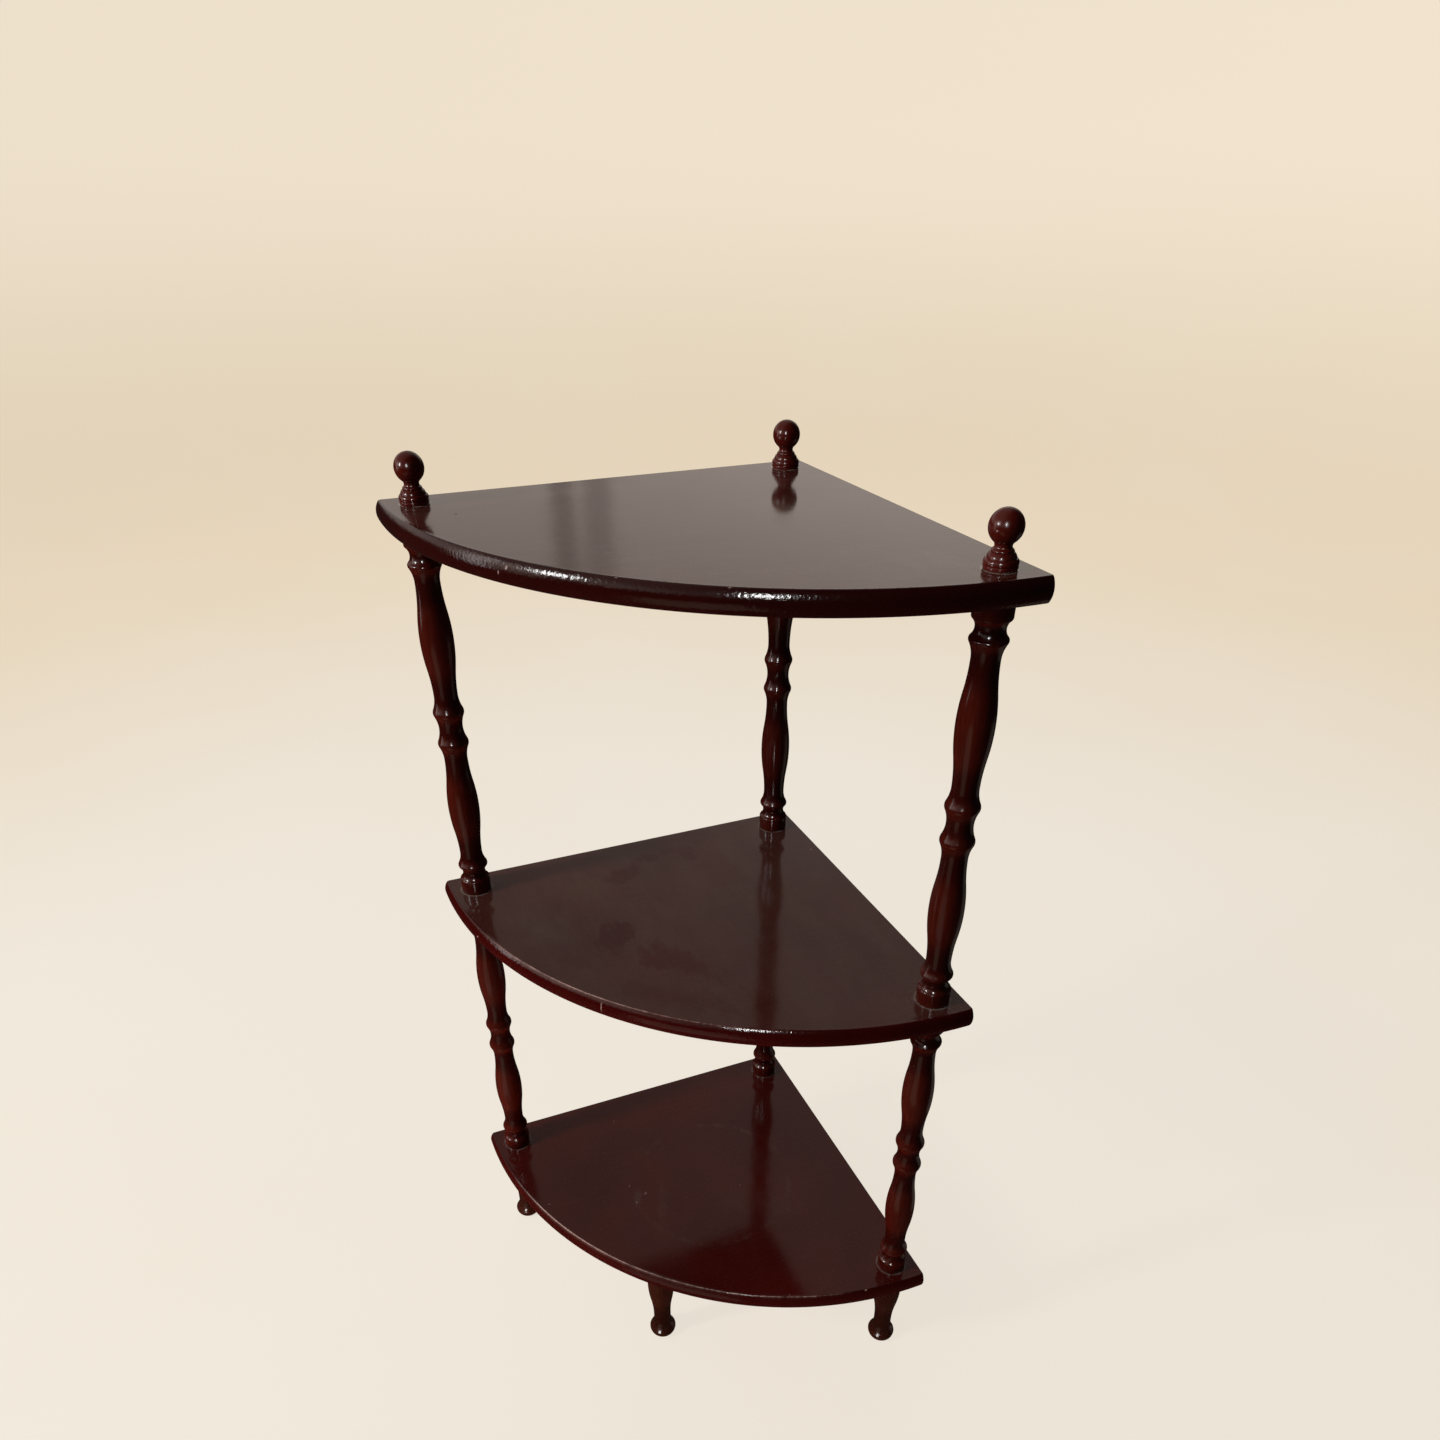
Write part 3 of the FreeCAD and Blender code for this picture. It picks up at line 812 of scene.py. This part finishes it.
boards = {
    "top_shelf": {
        "standing": "{}_finial",
        "standingDiameter": finial["beads"]["base"]["foot"],
        "film": 0.08,
        "brushed": 0.26,
        "edgeShade": 0.65,
        "roughness": (0.09, 0.13),
        "ringShare": 0.9,
        "chips": [
            chipAt(32.4, 5.8, 1.3, 2.4, 0.2),
            chipAt(31.2, 10.0, 1.2, 2.2, 0.2),
            chipAt(45.7, 1.0, 1.6, 0.7, 0.15),
            chipAt(57.3, 1.0, 2.0, 0.8, 0.2),
        ],
        "smears": [
            markAt(240, 52, 90, 40, core=0.1, share=0.6),
            markAt(150, 30, 60, 30, core=0.1, share=0.6),
        ],
        "hazes": [
            markAt(282, 80, 70, 60, core=0.0, share=0.18),
            markAt(150, 62, 90, 60, core=0.0, share=0.20),
            markAt(205, 8, 40, 70, core=0.0, share=0.25),
        ],
        "darkMarks": [markAt(291, 12.2, 3.2, 2.4, core=0.5)],
    },
    "middle_shelf": {
        "standing": "upper_{}_spindle",
        "standingDiameter": spindle["drumDiameter"],
        "film": 0.18,
        "brushed": 0.03,
        "edgeShade": 0.1,
        "roughness": (0.09, 0.14),
        "ringShare": 0.35,
        "chips": [
            chipAt(14.8, 8.6, 2.2, 1.5, 0.2),
            chipAt(40.0, 7.3, 0.9, 8.0, 0.1),
            chipAt(46.2, 0.7, 5.5, 1.2, 0.25),
            chipAt(20.3, 0.8, 1.8, 0.8, 0.2),
            chipAt(22.3, 0.8, 1.6, 0.7, 0.2),
        ],
        "wornGlintAngles": (14, 66),
        "glintHeart": 36,
        "wornGlintShare": 1.1,
        "smears": [
            markAt(187, 15.5, 26, 46, share=0.8),
            markAt(150, 12.6, 20, 44, share=0.8),
            markAt(121, 18.5, 34, 20, share=0.8),
            markAt(256, 33.0, 42, 58, turn=24, core=0.4),
            markAt(262, 46.0, 104, 44, turn=-6, share=0.95),
            markAt(298, 30.0, 84, 26, turn=-6, share=0.4),
            markAt(304, 50.0, 120, 36, turn=2, core=0.2, share=0.6),
        ],
        "hazes": [
            markAt(285, 22, 90, 60, core=0.0, share=0.06),
            markAt(226, 16, 60, 70, core=0.0, share=0.05),
        ],
        "paleMarks": [markAt(75.7, 84.2, 2.0, 1.4, core=0.5)],
    },
    "bottom_shelf": {
        "standing": "lower_{}_spindle",
        "standingDiameter": spindle["drumDiameter"],
        "insert": "bottom_shelf_insert",
        "film": 0.03,
        "brushed": 0.02,
        "edgeShade": 0.35,
        "roughness": (0.09, 0.14),
        "ringShare": 0.25,
        "chips": [
            chipAt(45.0, 0.8, 3.0, 0.8, 0.2),
            chipAt(69.9, 1.0, 2.4, 0.8, 0.2),
            chipAt(71.6, 1.0, 1.8, 0.8, 0.2),
            chipAt(79.9, 0.9, 2.6, 1.2, 0.3),
        ],
        "wornGlintAngles": (12, 78),
        "glintHeart": 30,
        "wornGlintShare": 1.6,
        "smears": [markAt(240, 46, 60, 50, share=0.5)],
        "hazes": [
            markAt(255, 39.7, 18, 100, turn=30, core=0.0, share=0.06),
            markAt(260, 33.9, 10, 30, turn=30, core=0.0, share=0.10),
            markAt(217, 61, 90, 60, core=0.0, share=0.04),
        ],
        "potRing": {"radius": 204, "angle": 47.4, "across": 154, "wide": 9, "share": 0.09},
        "paleMarks": [
            markAt(250, 29.9, 0.8, 5.0, turn=20, core=0.2, share=0.5),
            markAt(262, 34.2, 1.3, 1.8, core=0.4, share=0.9),
            markAt(248, 34.3, 3.0, 5.0, turn=8, core=0.1, share=0.4),
            markAt(319, 21.4, 1.3, 1.2, core=0.5),
            markAt(325, 67.6, 1.4, 1.0, core=0.5, share=0.6),
            markAt(206, 9.3, 1.2, 1.0, core=0.5, share=0.7),
            markAt(201, 55.5, 1.1, 1.0, core=0.5, share=0.6),
        ],
    },
}


def edgeSection(radius, thickness):
    # the front edge from the underside up: distance from the corner, height, lean and margin on a face
    s = boardShape
    half = thickness / 2
    crownRadius = (half ** 2 + s["crown"] ** 2) / (2 * s["crown"])
    crownCentre = radius - crownRadius
    reach = crownRadius - s["ease"]
    flat = crownCentre + math.sqrt(reach ** 2 - (half - s["ease"]) ** 2)
    lean = math.asin((half - s["ease"]) / reach)
    arcs = [
        (flat, s["ease"], s["ease"], -math.pi / 2, -lean, s["easeSteps"]),
        (crownCentre, half, crownRadius, -lean, lean, s["crownSteps"]),
        (flat, thickness - s["ease"], s["ease"], lean, math.pi / 2, s["easeSteps"]),
    ]
    margins = [margin * mm for margin in s["faceMargins"]]
    section = [(flat - margin, 0.0, -math.pi / 2, margin) for margin in reversed(margins)]
    for part, (across, up, arcRadius, start, end, steps) in enumerate(arcs):
        for i in range(1 if part else 0, steps + 1):
            angle = start + (end - start) * i / steps
            point = (across + arcRadius * math.cos(angle), up + arcRadius * math.sin(angle))
            section.append((*point, angle, 0.0))
    return section + [(flat - margin, thickness, math.pi / 2, margin) for margin in margins]


def backInset(height, thickness):
    # how far the eased straight edges stand in from the wall at a height
    ease = boardShape["backEase"]
    depth = ease - min(height, thickness - height, ease)
    return ease - math.sqrt(ease ** 2 - depth ** 2)


def planLoop(radius, inset):
    # one level's outline from the walls' corner: both straight edges, the two tips and the bow
    s = boardShape
    tip = s["tipEase"]
    near = inset + tip
    across = math.sqrt((radius - tip) ** 2 - near ** 2)
    first = math.atan2(near, across)
    last = math.pi / 2 - first
    corner = arc(near, near, tip, math.pi, 1.5 * math.pi, s["tipSteps"])
    firstTip = arc(across, near, tip, -math.pi / 2, first, s["tipSteps"])
    front = arc(0, 0, radius, first, last, s["bowSteps"])
    lastTip = arc(near, across, tip, last, math.pi, s["tipSteps"])
    return corner + firstTip[:-1] + front + lastTip[1:]


def knock(chips, angle, down, bowRadius):
    # how deep the edge is dented at a point, and how bare it is there
    k = knockShape
    deepest, bare = 0.0, 0.0
    for chip in chips:
        along = math.radians(angle - chip["angle"]) * bowRadius / (chip["long"] * mm / 2)
        across = (down / mm - chip["down"]) / (chip["high"] / 2)
        if max(abs(along), abs(across)) > k["reach"]:
            continue
        spot = Vector((angle * k["perDegree"], down / mm * k["perMm"], chip["angle"]))
        share = 1 - math.hypot(along, across) * (1 + k["rim"] * noise.noise(spot))
        if share > 0:
            deepest = max(deepest, chip["deep"] * mm * min(1.0, share * k["steep"]))
            bare = max(bare, min(1.0, share * k["bare"]))
    return deepest, bare


def wear(board, angle, lean):
    # how far the lacquer is rubbed off the arris, with a painted highlight of a window's glint added
    # along it, brightest at the heart
    if "wornGlintAngles" not in board:
        return 0.0
    w = wearGlintLook
    start, end = board["wornGlintAngles"]
    run = min(1.0, max(0.0, (angle - start) / w["fadeOut"]), max(0.0, (end - angle) / w["fadeOut"]))
    rubbedAndGlinting = w["even"]
    for patch in w["patches"]:
        rubbedAndGlinting += patch["share"] * noise.noise(Vector((angle * patch["perDegree"], patch["seed"], 0)))
    rubbedAndGlinting += w["heartShare"] * math.exp(-((angle - board["glintHeart"]) / w["heartWidth"]) ** 2)
    band = math.exp(-((math.degrees(lean) - w["lean"]) / w["leanWidth"]) ** 2)
    return max(0.0, min(1.0, run * rubbedAndGlinting * band * board["wornGlintShare"]))


def addRing(work, x, y, radius, height):
    ring = arc(x, y, radius, 0.0, 2 * math.pi, bores["sides"])[:-1]
    return [work.verts.new((*point, height)) for point in ring]


def bridge(work, first, second):
    count = len(first)
    for i in range(count):
        j = (i + 1) % count
        work.faces.new((first[i], first[j], second[j], second[i]))


def loopEdges(work, loop):
    edges = []
    for first, second in zip(loop, loop[1:] + loop[:1]):
        edges.append(work.edges.get((first, second)) or work.edges.new((first, second)))
    return edges


def makeBoard(node, board):
    low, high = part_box(node)
    thickness = high.z - low.z
    radius = high.x - low.x
    board["corner"] = (high.x, high.y)
    board["faceLevel"] = high.z - boardShape["faceDepth"]
    section = edgeSection(radius, thickness)
    downs = [-section[-1][3]]       # distance along the edge from the top face
    for above, below in zip(section[::-1], section[-2::-1]):
        downs.append(downs[-1] + math.hypot(above[0] - below[0], above[1] - below[1]))
    downs.reverse()

    work = bmesh.new()
    layers = {name: work.verts.layers.float.new(name) for name in ("edge", "chip", "worn")}
    loops = []
    for (across, up, lean, margin), down in zip(section, downs):
        loop = []
        for x, y in planLoop(across, backInset(up, thickness) + margin):
            angle = math.degrees(math.atan2(y, x))
            onBow = math.hypot(x, y) > across - boardShape["tipEase"]
            dent, bare = knock(board["chips"], angle, down, radius) if onBow else (0.0, 0.0)
            outward = Vector((x, y, 0)).normalized() * math.cos(lean) + Vector((0, 0, math.sin(lean)))
            point = Vector((x, y, up)) - outward * dent
            vertex = work.verts.new((high.x - point.x, high.y - point.y, low.z + point.z))
            vertex[layers["edge"]] = max(0.0, 1.0 - margin / boardShape["edgeFade"]) if onBow else 0.0
            vertex[layers["chip"]] = bare
            vertex[layers["worn"]] = wear(board, angle, lean) if onBow and not margin else 0.0
            loop.append(vertex)
        loops.append(loop)
    for first, second in zip(loops, loops[1:]):
        bridge(work, first, second)

    # the faces are filled round the bolt holes, and the bottom board has the front foot's insert
    underEdges, topEdges = loopEdges(work, loops[0]), loopEdges(work, loops[-1])
    standing = [board["standing"].format(post) for post in posts]
    for turning in standing:
        x, y = nodeAxis(turning + "_bolt")
        hole = nodeRadius(turning + "_bolt") + bores["boltHole"]
        rings = [addRing(work, x, y, hole, low.z), addRing(work, x, y, hole, high.z)]
        bridge(work, *rings)
        underEdges += loopEdges(work, rings[0])
        topEdges += loopEdges(work, rings[1])
    insert = board.get("insert")
    if insert:
        sleeve, flange, depth = insertSteps(insert)
        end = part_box(insert)[1].z + bores["end"]
        steps = [(flange, low.z), (flange, low.z + depth), (sleeve, low.z + depth), (sleeve, end)]
        rings = [addRing(work, *nodeAxis(insert), r + bores["fit"], height) for r, height in steps]
        for first, second in zip(rings, rings[1:]):
            bridge(work, first, second)
        work.faces.new(rings[-1])
        underEdges += loopEdges(work, rings[0])
    for edges in (underEdges, topEdges):
        bmesh.ops.triangle_fill(work, use_beauty=True, use_dissolve=False, edges=edges)
    bmesh.ops.recalc_face_normals(work, faces=work.faces[:])
    for face in work.faces:
        face.smooth = abs(face.normal.z) < boardShape["flatNormal"]

    mesh = bpy.data.meshes.new(node + "_board")
    work.to_mesh(mesh)
    work.free()
    mesh.set_sharp_from_angle(angle=math.radians(boardShape["sharpAngle"]))
    feet = [(nodeAxis(turning), board["standingDiameter"] / 2) for turning in standing]
    finish = boardLacquer(node + "_lacquer", board, feet)
    addPiece(node + "_board", mesh, finish, node)


for node, board in boards.items():
    makeBoard(node, board)
print("boards made")


# hardware keeps its solids and takes threaded metal finishes

hardware = {
    "bolt": {
        "finish": "bolt_steel",
        "bright": (0.56, 0.54, 0.51, 1),
        "shade": (0.34, 0.33, 0.32, 1),
        "roughness": (0.28, 0.45),
    },
    "insert": {
        "finish": "insert_brass",
        "bright": (0.62, 0.42, 0.16, 1),
        "shade": (0.40, 0.25, 0.09, 1),
        "roughness": (0.25, 0.42),
    },
}
thread = {
    "pitch": 1.0 * mm,
    "depth": 0.25 * mm,
    "stainScale": 260.0,        # per metre
    "stainShows": (0.35, 0.7),
    "sheenShows": (0.3, 0.75),
}


def threadedMetal(metal):
    material, tree, shader, place = newFinish(metal["finish"])
    turns = times(tree, heightOf(tree, place), 2 * math.pi / thread["pitch"])
    ridge = maths(tree, "SINE", turns)
    stain = mottle(tree, place, thread["stainScale"], detail=4.0, roughness=0.6)
    colour = mixColour(tree, fade(tree, stain, *thread["stainShows"]), metal["bright"], metal["shade"])
    feed(tree, shader, Base_Color=colour, Metallic=1.0,
         Roughness=fade(tree, stain, *thread["sheenShows"], *metal["roughness"]),
         Normal=bumps(tree, ridge, thread["depth"]))
    return material


metals = {kind: threadedMetal(metal) for kind, metal in hardware.items()}
for node, piece in frame["nodes"].items():
    kind = node.split("_")[-1]
    if kind in metals:
        piece.data.materials.clear()
        piece.data.materials.append(metals[kind])
print("hardware finished")


# floor and the sweep behind it, in a paint that glows as painted light, paler near the shelf and high up

studio = {
    "discRadius": 0.45,      # only the floor close by throws light back on the shelf
    "floorRadius": 3.0,
    "sweepRadius": 1.2,
    "domeRise": 3.6,
    "pinhole": 0.001,
    "sides": 128,
    "step": 6,               # degrees between rings of the sweep and the dome
    "near": (0.90, 0.84, 0.74, 1),
    "far": (0.86, 0.73, 0.55, 1),
    "high": (0.98, 0.86, 0.69, 1),
    "nearReach": 0.7,
    "farReach": 3.0,
    "highFrom": 0.1,
    "highReach": 1.1,
    "cloudScale": 1.6,
    "cloudShare": 0.4,
    "matt": 0.32,            # share of the paint that takes light, besides its own glow
    "glow": 0.85,
    "roughness": 0.75,
    "ior": 1.4,
}


# the paint glows, which is painted light: the backdrop is lit by its own glow, paler near the shelf and
# high up, and the disc's glow lights the shelf's lower parts
def floorPaint():
    s = studio
    material, tree, shader, place = newFinish("floor_paint")
    cloud = maths(tree, "SUBTRACT", mottle(tree, place, s["cloudScale"], detail=3.0), 0.5)
    cloud = times(tree, cloud, s["cloudShare"])
    reach = distance(tree, flatten(tree, place))
    out = maths(tree, "ADD", fade(tree, reach, s["nearReach"], s["farReach"]), cloud)
    colour = mixColour(tree, out, s["near"], s["far"])
    high = fade(tree, heightOf(tree, place), s["highFrom"], s["highReach"])
    colour = mixColour(tree, high, colour, s["high"])
    paint = mixColour(tree, s["matt"], (0, 0, 0, 1), colour)
    feed(tree, shader, Roughness=s["roughness"], IOR=s["ior"], Base_Color=paint,
         Emission_Color=colour, Emission_Strength=s["glow"])
    return material


def addSheet(name, profile, finish):
    mesh = revolve(name, profile, studio["sides"])
    mesh.shade_smooth()
    mesh.materials.append(finish)
    piece = addObject(name, mesh)
    return piece


paint = floorPaint()
disc = [(studio["pinhole"], 0.0), (studio["discRadius"], 0.0)]
floor = addSheet("floor", disc, paint)
floor.visible_glossy = False
quarter = [math.radians(a) for a in range(0, 91, studio["step"])]
curve = [(studio["floorRadius"] + studio["sweepRadius"] * math.sin(a),
          studio["sweepRadius"] * (1 - math.cos(a))) for a in quarter]
wallRadius, wallFoot = curve[-1]
dome = [(wallRadius * math.cos(a), wallFoot + studio["domeRise"] * math.sin(a)) for a in quarter[1:-1]]
sweep = addSheet("sweep", disc[1:] + curve + dome, paint)
for ray in ("diffuse", "glossy", "transmission", "shadow"):
    setattr(sweep, f"visible_{ray}", False)
print("studio set")


# light: bright behind, dim in front, a window at the left and what the floor throws back

worldLight = {
    "wall": 0.62,
    "ceiling": 0.28,
    "room": 0.012,
    "below": 0.012,
    "tint": (1.10, 0.97, 0.87, 1),
    "roomTowards": (0.6, -0.8, 0.0),
    "roomFrom": (-0.35, 0.28),      # cosines of the angle from there
    # heights are sines of the elevation
    "ceilingFrom": (0.30, 0.56),
    "horizon": (0.19, 0.03),
    # along the wall behind, in degrees from straight behind towards the right
    "slope": {"from": 5, "to": 40, "shares": (0.86, 1.22)},
    "bars": [
        {"azimuth": 14.6, "width": 1.8, "share": 0.45},
        {"azimuth": 16.4, "width": 2.2, "share": 0.35},
    ],
    "barCore": 0.3,
    "barsEnd": (0.32, 0.40),        # heights again
}
aimShare = 0.7      # the lamps point at this share of the shelf's height
lamps = {
    "side_window": {"azimuth": -90, "reach": 2.2, "height": 1.57, "size": (0.30, 0.50), "power": 17,
                    "shine": False},
    # the others are seen only as shine, some of them only on the pieces whose names end as onto says
    "side_shine": {"azimuth": -89, "reach": 2.2, "height": 1.57, "size": (0.34, 0.64), "power": 17,
                   "shape": "ELLIPSE", "onto": ("_turning", "top_shelf_board")},
    "front_shine": {"azimuth": -31.3, "reach": 1.88, "height": 1.53, "size": (0.15, 0.68), "power": 14,
                    "shape": "ELLIPSE"},
    "toe_shine": {"azimuth": -46, "reach": 1.5, "height": 0.15, "size": (0.45, 0.30), "power": 7,
                  "shape": "ELLIPSE", "onto": "_foot_turning"},
    "side_strip": {"azimuth": -112, "reach": 2.2, "height": 0.95, "size": (0.22, 1.5), "power": 2.2},
    "side_glow": {"azimuth": -105, "reach": 2.2, "height": 1.1, "size": (1.3, 1.3), "power": 2.5,
                  "colour": (1.0, 0.86, 0.74)},
    "left_glow": {"azimuth": -52, "reach": 1.4, "height": -0.45, "size": (0.9, 1.1), "power": 0.8,
                  "colour": (1.0, 0.80, 0.62)},
    "right_glow": {"azimuth": 80, "reach": 1.5, "height": -0.45, "size": (0.9, 1.1), "power": 0.40,
                   "colour": (1.0, 0.84, 0.72)},
}
# the pale floor at the left
bounce = {"place": (-0.60, 0.05, 0.002), "radius": 0.45, "power": 3.4, "colour": (1.0, 0.88, 0.74)}


def makeWorld():
    w = worldLight
    world = bpy.data.worlds.new("studio_light")
    bpy.context.scene.world = world
    world.use_nodes = True
    tree = world.node_tree
    tree.nodes.clear()
    direction = addNode(tree, "ShaderNodeTexCoord").outputs["Generated"]
    across, ahead, up = addNode(tree, "ShaderNodeSeparateXYZ", None, {0: direction}).outputs
    towards = vectors(tree, "DOT_PRODUCT", direction, w["roomTowards"])["Value"]
    strength = fade(tree, up, *w["ceilingFrom"], w["wall"], w["ceiling"])
    azimuth = maths(tree, "ARCTAN2", across, ahead)
    slope = w["slope"]
    share = fade(tree, azimuth, math.radians(slope["from"]), math.radians(slope["to"]), *slope["shares"])
    strength = times(tree, strength, share)
    for bar in w["bars"]:
        away = maths(tree, "ABSOLUTE", maths(tree, "SUBTRACT", azimuth, math.radians(bar["azimuth"])))
        half = math.radians(bar["width"]) / 2
        shade = fade(tree, away, half, half * w["barCore"], 1.0, 1.0 - bar["share"])
        shade = maths(tree, "MAXIMUM", shade, fade(tree, up, *w["barsEnd"]))
        strength = times(tree, strength, shade)
    strength = blend(tree, fade(tree, towards, *w["roomFrom"]), strength, w["room"])
    strength = blend(tree, fade(tree, up, *w["horizon"]), strength, w["below"])
    background = addNode(tree, "ShaderNodeBackground", None, {"Color": w["tint"], "Strength": strength})
    addNode(tree, "ShaderNodeOutputWorld", None, {"Surface": background.outputs[0]})


def direct(azimuth, elevation):
    # 0 is from the front, negative from the left
    a, e = math.radians(azimuth), math.radians(elevation)
    return Vector((math.sin(a) * math.cos(e), -math.cos(a) * math.cos(e), math.sin(e)))


def addLamp(name, shape, size, power):
    light = bpy.data.lights.new(name, "AREA")
    light.shape = shape
    light.size, light.size_y = size
    light.energy = power
    lamp = addObject(name, light)
    lamp.visible_camera = False
    return lamp


def lightOnly(lamp, ending):
    # keeps a lamp to the pieces whose names end so; ending is a word or several
    pieces = bpy.data.collections.new(lamp.name + "_pieces")
    for piece in bpy.context.scene.objects:
        if piece.name.endswith(ending):
            pieces.objects.link(piece)
    lamp.light_linking.receiver_collection = pieces


makeWorld()
aim = Vector((0, 0, (solidBox[0].z + solidBox[1].z) * aimShare))
for name, setting in lamps.items():
    lamp = addLamp(name, setting.get("shape", "RECTANGLE"), setting["size"], setting["power"])
    lamp.location = direct(setting["azimuth"], 0) * setting["reach"] + Vector((0, 0, setting["height"]))
    lamp.rotation_euler = (lamp.location - aim).to_track_quat("Z", "Y").to_euler()
    lamp.data.color = setting.get("colour", (1.0, 1.0, 1.0))
    shine = setting.get("shine", True)
    lamp.visible_diffuse = not shine
    lamp.visible_glossy = shine
    if "onto" in setting:
        lightOnly(lamp, setting["onto"])
lamp = addLamp("floor_bounce", "DISK", (2 * bounce["radius"], 2 * bounce["radius"]), bounce["power"])
lamp.location = bounce["place"]
lamp.rotation_euler = (math.pi, 0, 0)
lamp.data.color = bounce["colour"]
lamp.visible_glossy = False
print("lights placed")


# camera at the photo's angle; lengths in pixels are of its 1440 by 1440 frame

view = {
    "place": (-0.2405, -0.6428, 0.9217),
    "azimuth": -22.110,
    "elevation": 36.400,
    "roll": -0.273,
    "focalPixels": 1046.9,
    "principalPixel": (710.3, 950.0),
    "framePixels": 1440,
    "sensorWidth": 36.0,
    "clipStart": 0.02,
}


def makeCamera():
    v = view
    data = bpy.data.cameras.new("camera")
    data.sensor_width = v["sensorWidth"]
    data.lens = v["sensorWidth"] * v["focalPixels"] / v["framePixels"]
    data.shift_x = 0.5 - v["principalPixel"][0] / v["framePixels"]
    data.shift_y = v["principalPixel"][1] / v["framePixels"] - 0.5
    data.clip_start = v["clipStart"]
    back = direct(v["azimuth"], v["elevation"])
    right = Vector((math.cos(math.radians(v["azimuth"])), math.sin(math.radians(v["azimuth"])), 0))
    up = back.cross(right)
    roll = math.radians(v["roll"])
    rolledRight = right * math.cos(roll) + up * math.sin(roll)
    rolledUp = up * math.cos(roll) - right * math.sin(roll)
    turn = Matrix((rolledRight, rolledUp, back)).transposed().to_4x4()
    camera = addObject("camera", data)
    camera.matrix_world = Matrix.Translation(v["place"]) @ turn
    bpy.context.scene.camera = camera


makeCamera()
bpy.context.scene.view_settings.view_transform = "Standard"
print("camera set")

bpy.context.view_layer.update()
